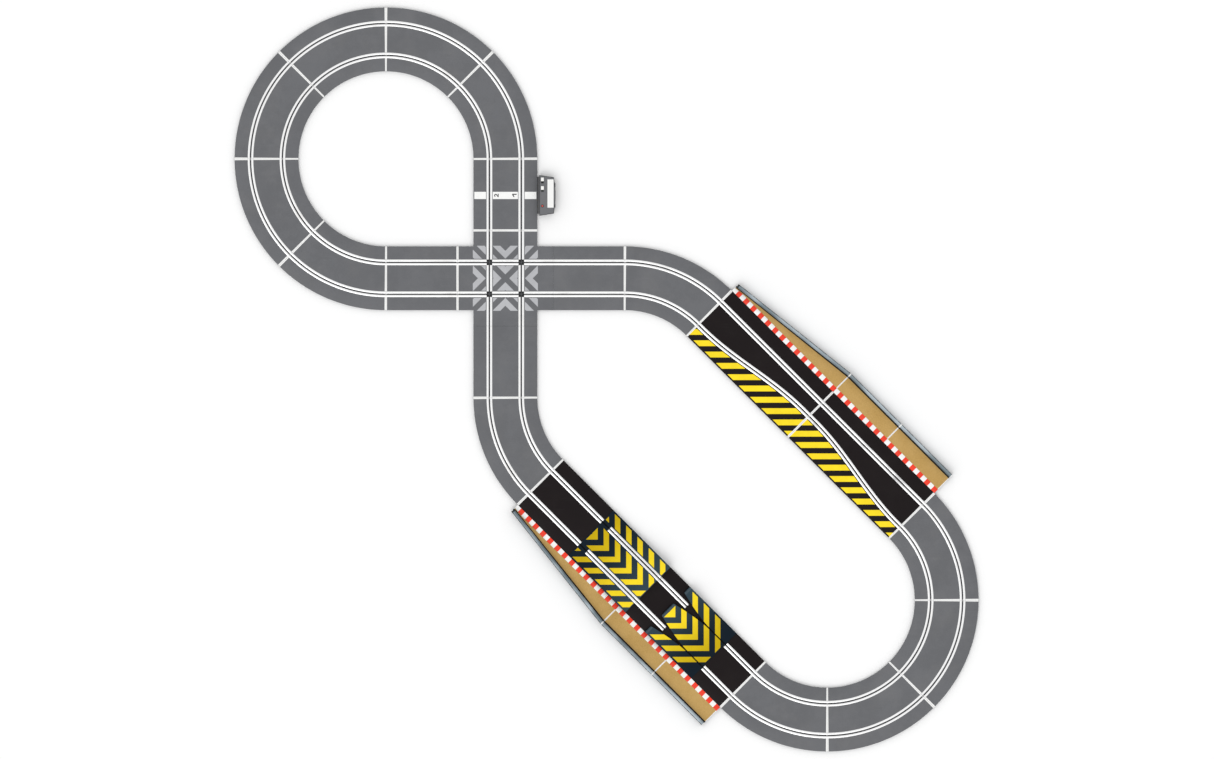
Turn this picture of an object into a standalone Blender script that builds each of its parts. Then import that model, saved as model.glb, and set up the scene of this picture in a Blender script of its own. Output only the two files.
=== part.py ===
"""Slot car track set: clip-together sections that make a figure of eight with one long side.

Sizes are in metres, +Z is up and the floor is z = 0. The origin is the middle of the whole layout.
Every section is made in its own frame, with x along the lane and y across it, and is then placed.
"""

from math import cos, hypot, pi, radians, sin, sqrt

import bmesh
import bpy
from mathutils import Matrix, Vector

MM = 0.001

# Layout
TRACK_WIDTH = 156 * MM
LANE_SPACING = 78 * MM
CURVE_RADIUS = 292 * MM
HALF_STRAIGHT = 175 * MM
STRAIGHT = 350 * MM
CURVE_ANGLE = radians(45)
CURVE_STEPS = 6

# Section moulding
BED_HEIGHT = 8 * MM
BED_SKIN = 2.2 * MM
BED_WALL = 2.5 * MM
SLOT_WIDTH = 3.2 * MM
SLOT_DEPTH = 6 * MM
SLOT_WEB = 1.8 * MM
JOINT_GAP = 0.3 * MM
FIT_GAP = 0.3 * MM

# Clips between sections: one tongue and one socket on every end
CLIP_OFFSET = 20 * MM
CLIP_WIDTH = 10 * MM
CLIP_HEIGHT = 3 * MM
CLIP_LENGTH = 9 * MM
CLIP_BASE = 1.8 * MM
CLIP_ROOT = 1.5 * MM

# Metal rails
RAIL_WIDTH = 5.2 * MM
RAIL_THICKNESS = 1 * MM
RAIL_PROUD = 0.25 * MM
RAIL_FROM_SLOT_MIDDLE = 4.3 * MM

# Squeeze: the inner lane swings towards the outer one
SQUEEZE_SHIFT = 33.7 * MM
SQUEEZE_START = 10 * MM
SQUEEZE_END_FLAT = 20 * MM
SQUEEZE_STEPS = 14

# Jump ramps: the take-off bridges the joint of the two jump straights
TAKEOFF_LENGTH = 197 * MM
TAKEOFF_PAST_JOINT = 22 * MM
TAKEOFF_RISE = 18 * MM
TAKEOFF_RAIL_SET_BACK = 25 * MM
CREST_FLAT = 8 * MM
JUMP_GAP = 66.7 * MM
LANDING_LENGTH = 161.3 * MM
LANDING_RISE = 14 * MM
LANDING_LIP = 7.3 * MM
RAMP_FOOT = 1.2 * MM
RAMP_SKIN = 2.2 * MM
RAMP_WALL = 2.5 * MM
RAMP_STEPS = 8
LEAST_HOLLOW = 0.5 * MM
FUNNEL_FLOOR_SET_BACK = 29.3 * MM
FUNNEL_MOUTH = 19 * MM
FUNNEL_LENGTH = 103.3 * MM
FUNNEL_STEPS = 10
KEEL_DEPTH = 4 * MM
KEEL_LENGTH = 40 * MM

# Borders and barriers
BORDER_WIDTH = 52 * MM
BORDER_TIP_WIDTH = 12 * MM
BORDER_TONGUE_WIDTH = 12 * MM
BORDER_TONGUE_LENGTH = 8 * MM
BORDER_TONGUE_SPACING = 105 * MM
BARRIER_WIDTH = 11 * MM
BARRIER_HEIGHT = 22 * MM
BARRIER_FLANGE = 4 * MM
BARRIER_PEG_RADIUS = 2 * MM
BARRIER_PEG_DEPTH = 3 * MM
BARRIER_PEG_INSET = 30 * MM
BARRIER_BASE = 3 * MM

# Barrier section, as shares of its width and of its height
BARRIER_WALL_SIDES = (0.45, 0.85)
BARRIER_CAP_SIDES = (0.2, 1)
BARRIER_CAP_HEIGHTS = (0.55, 0.8)
BARRIER_PEG_PLACE = 0.55

# Control box on the power base
START_LINE = 85.5 * MM
BOX_SET_OFF = 5.4 * MM
BOX_DEPTH = 35 * MM
BOX_BULGE = 4.1 * MM
BOX_BACK_HALF = 49.6 * MM
BOX_FRONT_HALF = 44.2 * MM
BOX_FLANGE_HALF = 45 * MM
BOX_FLANGE_HEIGHT = 5 * MM
BOX_SPLIT = 16 * MM
BOX_HEIGHT = 24 * MM
BOX_WALL = 2 * MM
BOX_FRONT_STEPS = 8
BOARD_UNDERSIDE = 6 * MM
BOARD_THICKNESS = 1.6 * MM
BOARD_ENDS = (-28 * MM, 30 * MM)
BOARD_SIDES = (3 * MM, 22 * MM)
BOARD_RIB_PLACES = (-20 * MM, 20 * MM)
BOARD_RIB_LENGTH = 10 * MM
SOCKET_RADIUS = 5 * MM
SOCKET_BORE = 3.5 * MM
SOCKET_COLLAR = 6.2 * MM
SOCKET_COLLAR_SET_BACK = 2.5 * MM
SOCKET_LENGTH = 16 * MM
SOCKET_END = 2 * MM
SOCKET_HEIGHT = 9.6 * MM
SOCKET_SPREAD = 25 * MM
INLET_FROM_TRACK = 18 * MM
SWITCH_FROM_TRACK = 12.7 * MM
SWITCH_PLACES = (36 * MM, 15 * MM)
SWITCH_TRAVEL = 6 * MM
SWITCH_WIDTH = 7 * MM
SWITCH_LENGTH = 9 * MM
SWITCH_PROUD = 2.5 * MM
SWITCH_STEM = 4 * MM
SWITCH_FOOT = 2 * MM
LENS_RADIUS = 2.2 * MM
LENS_PLACE = -26 * MM
SCREW_FROM_TRACK = 30 * MM
SCREW_SPREAD = 38 * MM
SCREW_RADIUS = 1.2 * MM
SCREW_HEAD_RADIUS = 3 * MM
SCREW_HEAD_HEIGHT = 2 * MM
FEED_WIDTH = 3 * MM
FEED_THICKNESS = 0.6 * MM
FEED_TAB_SHOULDER = 0.3 * MM
FEED_BASE = 0.4 * MM
FEED_BOARD_PLACE = 4 * MM
FEED_PLACES = (60 * MM, 74 * MM, 110 * MM)

# Values that follow from the ones above
HALF_WIDTH = TRACK_WIDTH / 2
LANE = LANE_SPACING / 2
CROSSING_ARM = CURVE_RADIUS - HALF_STRAIGHT
LONG_SIDE = 2 * STRAIGHT
SLOT_FLOOR = BED_HEIGHT - SLOT_DEPTH
RAMP_BASE = BED_HEIGHT + FIT_GAP
BORDER_UNIT = STRAIGHT / 2
SQUEEZE_RUN = STRAIGHT - SQUEEZE_START - SQUEEZE_END_FLAT
TAKEOFF_END = STRAIGHT + TAKEOFF_PAST_JOINT
TAKEOFF_START = TAKEOFF_END - TAKEOFF_LENGTH
TAKEOFF_RAIL_START = TAKEOFF_START + TAKEOFF_RAIL_SET_BACK
LANDING_START = TAKEOFF_END + JUMP_GAP
LANDING_END = LANDING_START + LANDING_LENGTH
FUNNEL_FLOOR_START = LANDING_START + FUNNEL_FLOOR_SET_BACK

# How far cutters reach past what they cut, and the sides of round pieces
OVER = 1 * MM
ROUND = 16
SMALL_ROUND = 12

GREY = (0.153, 0.156, 0.165)
BLACK = (0.018, 0.014, 0.014)
NAVY = (0.003, 0.011, 0.022)
TAN = (0.50, 0.32, 0.10)
STEEL_BLUE = (0.30, 0.36, 0.40)
METAL = (0.80, 0.81, 0.82)
WHITE = (0.85, 0.85, 0.85)
DARK_GREY = (0.07, 0.07, 0.08)
BOARD_GREEN = (0.02, 0.14, 0.05)
BRASS = (0.72, 0.52, 0.22)
LENS_RED = (0.6, 0.05, 0.03)

for leftover in list(bpy.data.objects):
    bpy.data.objects.remove(leftover, do_unlink=True)


def new_collection(name):
    made = bpy.data.collections.new(name)
    bpy.context.scene.collection.children.link(made)
    return made


PARTS = new_collection("slot_car_track_set")
CUTTERS = new_collection("cutters")


def frame(name, place, turn=0.0, parent=None):
    """An empty that carries the pieces of one section."""
    empty = bpy.data.objects.new(name, None)
    PARTS.objects.link(empty)
    empty.location = (*place, 0)
    empty.rotation_euler.z = turn
    empty.parent = parent
    return empty


def add(name, mesh, parent=None):
    obj = bpy.data.objects.new(name, mesh)
    PARTS.objects.link(obj)
    obj.parent = parent
    return obj


def add_bmesh(name, bm, parent=None):
    bmesh.ops.recalc_face_normals(bm, faces=bm.faces)
    mesh = bpy.data.meshes.new(name)
    bm.to_mesh(mesh)
    bm.free()
    return add(name, mesh, parent)


def box(name, low, high, parent=None):
    """A block between two corners."""
    low, high = Vector(low), Vector(high)
    bm = bmesh.new()
    bmesh.ops.create_cube(bm, size=1)
    bmesh.ops.scale(bm, vec=high - low, verts=bm.verts)
    bmesh.ops.translate(bm, vec=(low + high) / 2, verts=bm.verts)
    return add_bmesh(name, bm, parent)


def rod(name, start, end, radius, parent=None, segments=ROUND):
    """A cylinder between two points."""
    start, end = Vector(start), Vector(end)
    along = end - start
    turn = along.to_track_quat("Z", "Y").to_matrix().to_4x4()
    bm = bmesh.new()
    bmesh.ops.create_cone(
        bm, cap_ends=True, segments=segments, radius1=radius, radius2=radius, depth=along.length
    )
    bmesh.ops.transform(bm, matrix=Matrix.Translation((start + end) / 2) @ turn, verts=bm.verts)
    obj = add_bmesh(name, bm, parent)
    smooth(obj)
    return obj


def plate(name, outline, low, high, parent=None, upright=False):
    """A flat outline given a thickness. Upright, its points are (x, z) and the thickness runs along y."""
    curve = bpy.data.curves.new(name, "CURVE")
    curve.dimensions = "2D"
    curve.fill_mode = "BOTH"
    curve.extrude = (high - low) / 2
    spline = curve.splines.new("POLY")
    spline.points.add(len(outline) - 1)
    for point, (x, y) in zip(spline.points, outline):
        point.co = (x, y, 0, 1)
    spline.use_cyclic_u = True
    drawn = add(name + "_outline", curve)
    graph = bpy.context.evaluated_depsgraph_get()
    bm = bmesh.new()
    bm.from_mesh(bpy.data.meshes.new_from_object(drawn.evaluated_get(graph)))
    bpy.data.objects.remove(drawn, do_unlink=True)
    bmesh.ops.remove_doubles(bm, verts=bm.verts, dist=1e-6)
    if upright:
        turn = Matrix.Rotation(pi / 2, 4, "X")
        bmesh.ops.transform(bm, matrix=Matrix.Translation((0, (low + high) / 2, 0)) @ turn, verts=bm.verts)
    else:
        bmesh.ops.translate(bm, vec=(0, 0, (low + high) / 2), verts=bm.verts)
    return add_bmesh(name, bm, parent)


def swept(name, inner, outer, low, high, start, end, steps=CURVE_STEPS):
    """A bar of rectangular section spun about the origin."""
    bm = bmesh.new()
    corners = [(inner, 0, low), (outer, 0, low), (outer, 0, high), (inner, 0, high)]
    bm.faces.new([bm.verts.new(corner) for corner in corners])
    bmesh.ops.rotate(bm, cent=(0, 0, 0), matrix=Matrix.Rotation(start, 3, "Z"), verts=bm.verts)
    bmesh.ops.spin(
        bm, geom=bm.verts[:] + bm.edges[:] + bm.faces[:], axis=(0, 0, 1), cent=(0, 0, 0),
        angle=end - start, steps=steps, use_duplicate=False,
    )
    return add_bmesh(name, bm)


def combine(obj, others, operation):
    for other in others:
        modifier = obj.modifiers.new(f"{operation.lower()}_{other.name}", "BOOLEAN")
        modifier.object = other
        modifier.operation = operation
        other.hide_render = True
        other.display_type = "WIRE"
        if other.name in PARTS.objects:
            PARTS.objects.unlink(other)
            CUTTERS.objects.link(other)


def cut(obj, *cutters):
    combine(obj, cutters, "DIFFERENCE")


def join(obj, *pieces):
    combine(obj, pieces, "UNION")


def smooth(obj, angle=30):
    obj.data.shade_smooth()
    obj.data.set_sharp_from_angle(angle=radians(angle))


def finished_mesh(obj):
    """The mesh of a piece that is used more than once, with its cuts and joins applied."""
    graph = bpy.context.evaluated_depsgraph_get()
    graph.update()
    mesh = bpy.data.meshes.new_from_object(obj.evaluated_get(graph))
    mesh.name = obj.name + "_mesh"
    for modifier in obj.modifiers:
        bpy.data.objects.remove(modifier.object, do_unlink=True)
    bpy.data.objects.remove(obj, do_unlink=True)
    return mesh


def paint(obj, colour, roughness=0.5, metallic=0.0):
    material = bpy.data.materials.new(obj.name)
    material.use_nodes = True
    shader = material.node_tree.nodes["Principled BSDF"]
    shader.inputs["Base Color"].default_value = (*colour, 1)
    shader.inputs["Roughness"].default_value = roughness
    shader.inputs["Metallic"].default_value = metallic
    if not obj.data.materials:
        obj.data.materials.append(None)
    slot = obj.material_slots[0]
    slot.link = "OBJECT"
    slot.material = material


# Sections


def clip(name, place, turn):
    """(tongue, socket cutter) of a section end. Seen looking out of the end, the tongue is on the right."""
    tongue = box(
        name + "_tongue",
        (-CLIP_ROOT, -CLIP_OFFSET - CLIP_WIDTH / 2, CLIP_BASE),
        (CLIP_LENGTH, -CLIP_OFFSET + CLIP_WIDTH / 2, CLIP_BASE + CLIP_HEIGHT),
    )
    socket = box(
        name + "_socket",
        (-BED_WALL - OVER, CLIP_OFFSET - CLIP_WIDTH / 2 - FIT_GAP, CLIP_BASE - FIT_GAP),
        (OVER, CLIP_OFFSET + CLIP_WIDTH / 2 + FIT_GAP, CLIP_BASE + CLIP_HEIGHT + FIT_GAP),
    )
    for piece in (tongue, socket):
        piece.location = (*place, 0)
        piece.rotation_euler.z = turn
    return tongue, socket


def add_clips(bed, ends):
    for number, (place, turn) in enumerate(ends):
        tongue, socket = clip(f"{bed.name}_end_{number}", place, turn)
        join(bed, tongue)
        cut(bed, socket)


def straight_lane(side):
    """A lane is its distance from the centreline at x, and the number of steps it is drawn in."""
    return lambda x: side * LANE, 1


def squeeze_offset(x):
    """The inner lane's distance from the centreline, x being measured from the squeeze's outer end."""
    run = min(max((x - SQUEEZE_START) / SQUEEZE_RUN, 0), 1)
    return -LANE + SQUEEZE_SHIFT * (1 - cos(pi * run)) / 2


def lane_edge(lane, side, start, end):
    """Points along a line that keeps a fixed distance to one side of a lane."""
    offset, steps = lane
    points = []
    for step in range(steps + 1):
        x = start + (end - start) * step / steps
        slope = (offset(x + MM) - offset(x - MM)) / (2 * MM)
        across = side / hypot(1, slope)
        points.append((x - slope * across, offset(x) + across))
    return points


def edge_of_track(side):
    return lambda x: side * HALF_WIDTH, 1


def straight_bed(name, length, lanes, border_sockets=()):
    """A moulded bed: an open-bottomed shell with a channel hanging under each guide slot."""
    ends = JOINT_GAP / 2, length - JOINT_GAP / 2
    bed = box(name, (ends[0], -HALF_WIDTH, 0), (ends[1], HALF_WIDTH, BED_HEIGHT))
    channel = SLOT_WIDTH / 2 + SLOT_WEB
    lines = [(edge_of_track(-1), 0, BED_WALL)]
    for lane in lanes:
        slot = lane_edge(lane, -SLOT_WIDTH / 2, -OVER, length + OVER)
        slot += reversed(lane_edge(lane, SLOT_WIDTH / 2, -OVER, length + OVER))
        cut(bed, plate(name + "_slot", slot, SLOT_FLOOR, BED_HEIGHT + OVER))
        lines.append((lane, -channel, channel))
    lines.append((edge_of_track(1), -BED_WALL, 0))
    inside = ends[0] + BED_WALL, ends[1] - BED_WALL
    for (lower, _, near), (upper, far, _) in zip(lines, lines[1:]):
        pocket = lane_edge(lower, near, *inside) + lane_edge(upper, far, *inside)[::-1]
        cut(bed, plate(name + "_pocket", pocket, -OVER, BED_HEIGHT - BED_SKIN))
    add_clips(bed, [((ends[0], 0), pi), ((ends[1], 0), 0)])
    half = BORDER_TONGUE_WIDTH / 2 + FIT_GAP
    for x in border_sockets:
        for low, high in ((-HALF_WIDTH - OVER, -HALF_WIDTH + BED_WALL + OVER),
                          (HALF_WIDTH - BED_WALL - OVER, HALF_WIDTH + OVER)):
            cut(bed, box(
                name + "_border_socket",
                (x - half, low, CLIP_BASE - FIT_GAP),
                (x + half, high, CLIP_BASE + CLIP_HEIGHT + FIT_GAP),
            ))
    return bed


def curve_bed(name):
    """The moulded bed of a curve, about the middle of its circle, from angle 0 round to CURVE_ANGLE."""
    trim = JOINT_GAP / 2 / CURVE_RADIUS
    wall = trim + BED_WALL / CURVE_RADIUS
    over = OVER / CURVE_RADIUS
    inner, outer = CURVE_RADIUS - HALF_WIDTH, CURVE_RADIUS + HALF_WIDTH
    bed = swept(name, inner, outer, 0, BED_HEIGHT, trim, CURVE_ANGLE - trim)
    channel = SLOT_WIDTH / 2 + SLOT_WEB
    walls = [(inner, inner + BED_WALL)]
    for middle in (CURVE_RADIUS - LANE, CURVE_RADIUS + LANE):
        cut(bed, swept(
            name + "_slot", middle - SLOT_WIDTH / 2, middle + SLOT_WIDTH / 2,
            SLOT_FLOOR, BED_HEIGHT + OVER, -over, CURVE_ANGLE + over,
        ))
        walls.append((middle - channel, middle + channel))
    walls.append((outer - BED_WALL, outer))
    for (_, low), (high, _) in zip(walls, walls[1:]):
        cut(bed, swept(name + "_pocket", low, high, -OVER, BED_HEIGHT - BED_SKIN, wall, CURVE_ANGLE - wall))
    last = CURVE_ANGLE - trim
    end = (CURVE_RADIUS * cos(last), CURVE_RADIUS * sin(last))
    first = (CURVE_RADIUS * cos(trim), CURVE_RADIUS * sin(trim))
    add_clips(bed, [(first, trim - pi / 2), (end, last + pi / 2)])
    smooth(bed)
    return bed


def four_turns(outline):
    """An outline repeated at every quarter turn about the middle of the crossing."""
    return [[(x * cos(a) - y * sin(a), x * sin(a) + y * cos(a)) for x, y in outline]
            for a in (0, pi / 2, pi, 3 * pi / 2)]


def crossing_bed(name, parent):
    """A plus-shaped bed whose two pairs of slots cross in its middle."""
    arm = CROSSING_ARM - JOINT_GAP / 2
    bed = box(name, (-arm, -arm, 0), (arm, arm, BED_HEIGHT), parent)
    beyond = arm + OVER
    corner = [(HALF_WIDTH, HALF_WIDTH), (beyond, HALF_WIDTH), (beyond, beyond), (HALF_WIDTH, beyond)]
    for outline in four_turns(corner):
        cut(bed, plate(name + "_corner", outline, -OVER, BED_HEIGHT + OVER, parent))
    channel = SLOT_WIDTH / 2 + SLOT_WEB
    near, far = LANE - channel, LANE + channel
    side, end = HALF_WIDTH - BED_WALL, arm - BED_WALL
    between = [(far, -near), (end, -near), (end, near), (far, near)]
    outside = [(far, far), (end, far), (end, side), (side, side), (side, end), (far, end)]
    middle = [(-near, -near), (near, -near), (near, near), (-near, near)]
    for pocket in [middle] + four_turns(between) + four_turns(outside):
        cut(bed, plate(name + "_pocket", pocket, -OVER, BED_HEIGHT - BED_SKIN, parent))
    reach = CROSSING_ARM + OVER
    top = BED_HEIGHT + OVER
    for side in (-LANE, LANE):
        low, high = side - SLOT_WIDTH / 2, side + SLOT_WIDTH / 2
        cut(bed, box(name + "_slot", (-reach, low, SLOT_FLOOR), (reach, high, top), parent))
        cut(bed, box(name + "_slot", (low, -reach, SLOT_FLOOR), (high, reach, top), parent))
    for number in range(4):
        turn = number * pi / 2
        tongue, socket = clip(f"{name}_end_{number}", (arm * cos(turn), arm * sin(turn)), turn)
        tongue.parent = parent
        socket.parent = parent
        join(bed, tongue)
        cut(bed, socket)
    paint(bed, GREY)
    return bed


def place_section(name, mesh, parent, place, turn, colour=GREY):
    section = add(name, mesh, parent)
    section.location = (*place, 0)
    section.rotation_euler.z = turn
    paint(section, colour, 0.45)
    return section


TWO_LANES = [straight_lane(-1), straight_lane(1)]
origin = frame("crossing_frame", (-LONG_SIDE / sqrt(8), LONG_SIDE / sqrt(8)))

crossing_bed("crossing_bed", origin)

half_straight = finished_mesh(straight_bed("half_straight", HALF_STRAIGHT, TWO_LANES))
place_section("half_straight_left", half_straight, origin, (-CROSSING_ARM, 0), pi)
place_section("half_straight_right", half_straight, origin, (CROSSING_ARM, 0), 0)
place_section("half_straight_lower", half_straight, origin, (0, -CROSSING_ARM), -pi / 2)

curve = finished_mesh(curve_bed("curve"))
for step in range(6):
    place_section(
        f"small_loop_curve_{step + 1}", curve, origin, (-CURVE_RADIUS, CURVE_RADIUS), step * CURVE_ANGLE
    )
place_section("bend_to_squeeze", curve, origin, (CURVE_RADIUS, -CURVE_RADIUS), pi / 4)
place_section("bend_to_jump", curve, origin, (CURVE_RADIUS, -CURVE_RADIUS), pi)
far_end = CURVE_RADIUS + LONG_SIDE / sqrt(2)
for step in range(4):
    place_section(
        f"far_loop_curve_{step + 1}", curve, origin, (far_end, -far_end), radians(-135) + step * CURVE_ANGLE
    )

# The two long sides run down to the right at 45 degrees, x along them and y up to the right.
reach = CURVE_RADIUS / sqrt(2)
squeeze = frame("squeeze_frame", (CURVE_RADIUS + reach, -CURVE_RADIUS + reach), -pi / 4, origin)
jump = frame("jump_frame", (CURVE_RADIUS - reach, -CURVE_RADIUS - reach), -pi / 4, origin)
side_sockets = [
    (unit + 0.5) * BORDER_UNIT + side * BORDER_TONGUE_SPACING / 2 for unit in (0, 1) for side in (-1, 1)
]

squeeze_in = [(squeeze_offset, SQUEEZE_STEPS), straight_lane(1)]
squeeze_out = [(lambda x: squeeze_offset(STRAIGHT - x), SQUEEZE_STEPS), straight_lane(1)]
for number, lanes in enumerate((squeeze_in, squeeze_out)):
    mesh = finished_mesh(straight_bed("squeeze", STRAIGHT, lanes, side_sockets))
    place_section(f"squeeze_bed_{number + 1}", mesh, squeeze, (number * STRAIGHT, 0), 0, BLACK)

jump_straight = finished_mesh(straight_bed("jump_straight", STRAIGHT, TWO_LANES, side_sockets))
for number in range(2):
    place_section(f"jump_bed_{number + 1}", jump_straight, jump, (number * STRAIGHT, 0), 0, BLACK)

# Jump ramps


def rail_seats():
    """Where each rail's groove runs across the track. The rail fills it but for a gap on either side."""
    near, far = RAIL_FROM_SLOT_MIDDLE - RAIL_WIDTH / 2, RAIL_FROM_SLOT_MIDDLE + RAIL_WIDTH / 2 + FIT_GAP
    return [sorted((lane + side * near, lane + side * far)) for lane in (-LANE, LANE) for side in (-1, 1)]


def takeoff_top(x):
    """Height of the take-off ramp's surface: it curls up, then levels at the crest."""
    run = min(max((x - TAKEOFF_START) / (TAKEOFF_LENGTH - CREST_FLAT), 0), 1)
    return RAMP_BASE + RAMP_FOOT + TAKEOFF_RISE * (1 - cos(pi / 2 * run))


def landing_top(x):
    """Height of the landing ramp's surface: a level lip, then down to a thin foot."""
    run = min(max((LANDING_END - x) / (LANDING_LENGTH - LANDING_LIP), 0), 1)
    return RAMP_BASE + RAMP_FOOT + LANDING_RISE * (1 - cos(pi / 2 * run))


def under_surface(top, depth, start, end, steps=RAMP_STEPS):
    """Points a given depth below a ramp's surface."""
    xs = [start + (end - start) * step / steps for step in range(steps + 1)]
    return [(x, top(x) - depth) for x in xs]


def takeoff_xs():
    slope = TAKEOFF_LENGTH - CREST_FLAT
    return [TAKEOFF_START + slope * step / RAMP_STEPS for step in range(RAMP_STEPS + 1)] + [TAKEOFF_END]


def clear_above(name, points, low, high, parent):
    """A cutter that takes away everything above a line of (x, z) points, between two values of y."""
    ceiling = BED_HEIGHT + TAKEOFF_RISE + 20 * OVER
    outline = [(points[0][0], ceiling), *points, (points[-1][0], ceiling)]
    return plate(name, outline, low, high, parent, upright=True)


def ramp_pocket(name, top, start, end, low, high, parent):
    """A cutter for the hollow under a ramp's skin."""
    line = under_surface(top, RAMP_SKIN, start, end)
    line = [(x, z) for x, z in line if z > RAMP_BASE + LEAST_HOLLOW]
    floor = RAMP_BASE - OVER
    return plate(name, [(line[0][0], floor), *line, (line[-1][0], floor)], low, high, parent, upright=True)


def make_takeoff():
    name = "takeoff_ramp"
    surface = [(x, takeoff_top(x)) for x in takeoff_xs()]
    side = [(TAKEOFF_START, RAMP_BASE), *surface, (TAKEOFF_END, RAMP_BASE)]
    ramp = plate(name, side, -HALF_WIDTH, HALF_WIDTH, jump, upright=True)
    channel = SLOT_WIDTH / 2 + SLOT_WEB
    bounds = [-HALF_WIDTH + RAMP_WALL, -LANE - channel, -LANE + channel, LANE - channel, LANE + channel,
              HALF_WIDTH - RAMP_WALL]
    keel_end = TAKEOFF_END - RAMP_WALL
    for low, high in zip(bounds[::2], bounds[1::2]):
        cut(ramp, ramp_pocket(name + "_pocket", takeoff_top, TAKEOFF_START, keel_end, low, high, jump))
    for lane in (-LANE, LANE):
        floor = [(x, z - SLOT_DEPTH) for x, z in surface]
        floor[0] = (TAKEOFF_START - OVER, RAMP_BASE - SLOT_DEPTH)
        floor[-1] = (TAKEOFF_END + OVER, floor[-1][1])
        cut(ramp, clear_above(name + "_slot", floor, lane - SLOT_WIDTH / 2, lane + SLOT_WIDTH / 2, jump))
        join(ramp, box(
            name + "_keel",
            (keel_end - KEEL_LENGTH, lane - SLOT_WIDTH / 2 + FIT_GAP, BED_HEIGHT - KEEL_DEPTH),
            (keel_end, lane + SLOT_WIDTH / 2 - FIT_GAP, RAMP_BASE + OVER), jump,
        ))
    xs = [TAKEOFF_RAIL_START] + [x for x in takeoff_xs() if x > TAKEOFF_RAIL_START]
    groove = [(x, takeoff_top(x) - RAIL_THICKNESS + RAIL_PROUD - FIT_GAP) for x in xs]
    groove[-1] = (TAKEOFF_END + OVER, groove[-1][1])
    xs[0] += FIT_GAP
    upper = [(x, takeoff_top(x) + RAIL_PROUD) for x in xs]
    lower = [(x, z - RAIL_THICKNESS) for x, z in reversed(upper)]
    for number, (low, high) in enumerate(rail_seats()):
        cut(ramp, clear_above(name + "_groove", groove, low, high, jump))
        rail = plate(
            f"ramp_rail_{number + 1}", upper + lower, low + FIT_GAP, high - FIT_GAP, jump, upright=True
        )
        paint(rail, METAL, 0.3, 1)
    paint(ramp, NAVY, 0.45)


def funnel_half_width(x):
    """The landing funnel narrows smoothly from its mouth to the guide slot."""
    run = min(max((x - LANDING_START) / FUNNEL_LENGTH, 0), 1)
    return SLOT_WIDTH / 2 + (FUNNEL_MOUTH - SLOT_WIDTH / 2) * (1 - run) ** 1.5


def make_landing():
    name = "landing_ramp"
    front = LANDING_START
    lip = LANDING_START + LANDING_LIP
    lip_height = landing_top(lip)
    nose = [(front + LANDING_LIP * (1 - cos(a)), lip_height - LANDING_LIP * (1 - sin(a)))
            for a in (0, pi / 6, pi / 3, pi / 2)]
    slope = under_surface(landing_top, 0, lip, LANDING_END)
    ramp = plate(
        name, [(front, RAMP_BASE), *nose, *slope[1:], (LANDING_END, RAMP_BASE)],
        -HALF_WIDTH, HALF_WIDTH, jump, upright=True,
    )
    for lane in (-LANE, LANE):
        xs = [front + FUNNEL_LENGTH * step / FUNNEL_STEPS for step in range(FUNNEL_STEPS + 1)]
        xs = [front - OVER, *xs, LANDING_END + OVER]
        plan = [(x, lane - funnel_half_width(x)) for x in xs]
        plan += [(x, lane + funnel_half_width(x)) for x in reversed(xs)]
        floor = [(front - 2 * OVER, 0), (FUNNEL_FLOOR_START, 0)]
        floor += under_surface(landing_top, SLOT_DEPTH, FUNNEL_FLOOR_START, LANDING_END + 2 * OVER)
        half = FUNNEL_MOUTH + OVER
        funnel = plate(name + "_funnel", plan, -OVER, 2 * BED_HEIGHT + TAKEOFF_RISE, jump)
        combine(funnel, [clear_above(name + "_air", floor, lane - half, lane + half, jump)], "INTERSECT")
        cut(ramp, funnel)
        join(ramp, box(
            name + "_keel",
            (FUNNEL_FLOOR_START + OVER, lane - SLOT_WIDTH / 2 + FIT_GAP, BED_HEIGHT - KEEL_DEPTH),
            (FUNNEL_FLOOR_START + OVER + KEEL_LENGTH, lane + SLOT_WIDTH / 2 - FIT_GAP, RAMP_BASE + OVER), jump,
        ))
    channel = FUNNEL_MOUTH + RAMP_WALL
    pocket_end = LANDING_END - RAMP_WALL
    for low, high in ((-HALF_WIDTH + RAMP_WALL, -LANE - channel), (-LANE + channel, LANE - channel),
                      (LANE + channel, HALF_WIDTH - RAMP_WALL)):
        if high - low > RAMP_WALL:
            cut(ramp, ramp_pocket(name + "_pocket", landing_top, lip, pocket_end, low, high, jump))
    paint(ramp, NAVY, 0.45)


make_takeoff()
make_landing()

# Borders and barriers


def border_edge(x, lead_in):
    """Distance of a border's outer edge from the track's centreline."""
    run = min(x / STRAIGHT, 1) if lead_in else 1
    return HALF_WIDTH + BORDER_TIP_WIDTH + (BORDER_WIDTH - BORDER_TIP_WIDTH) * run


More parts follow.
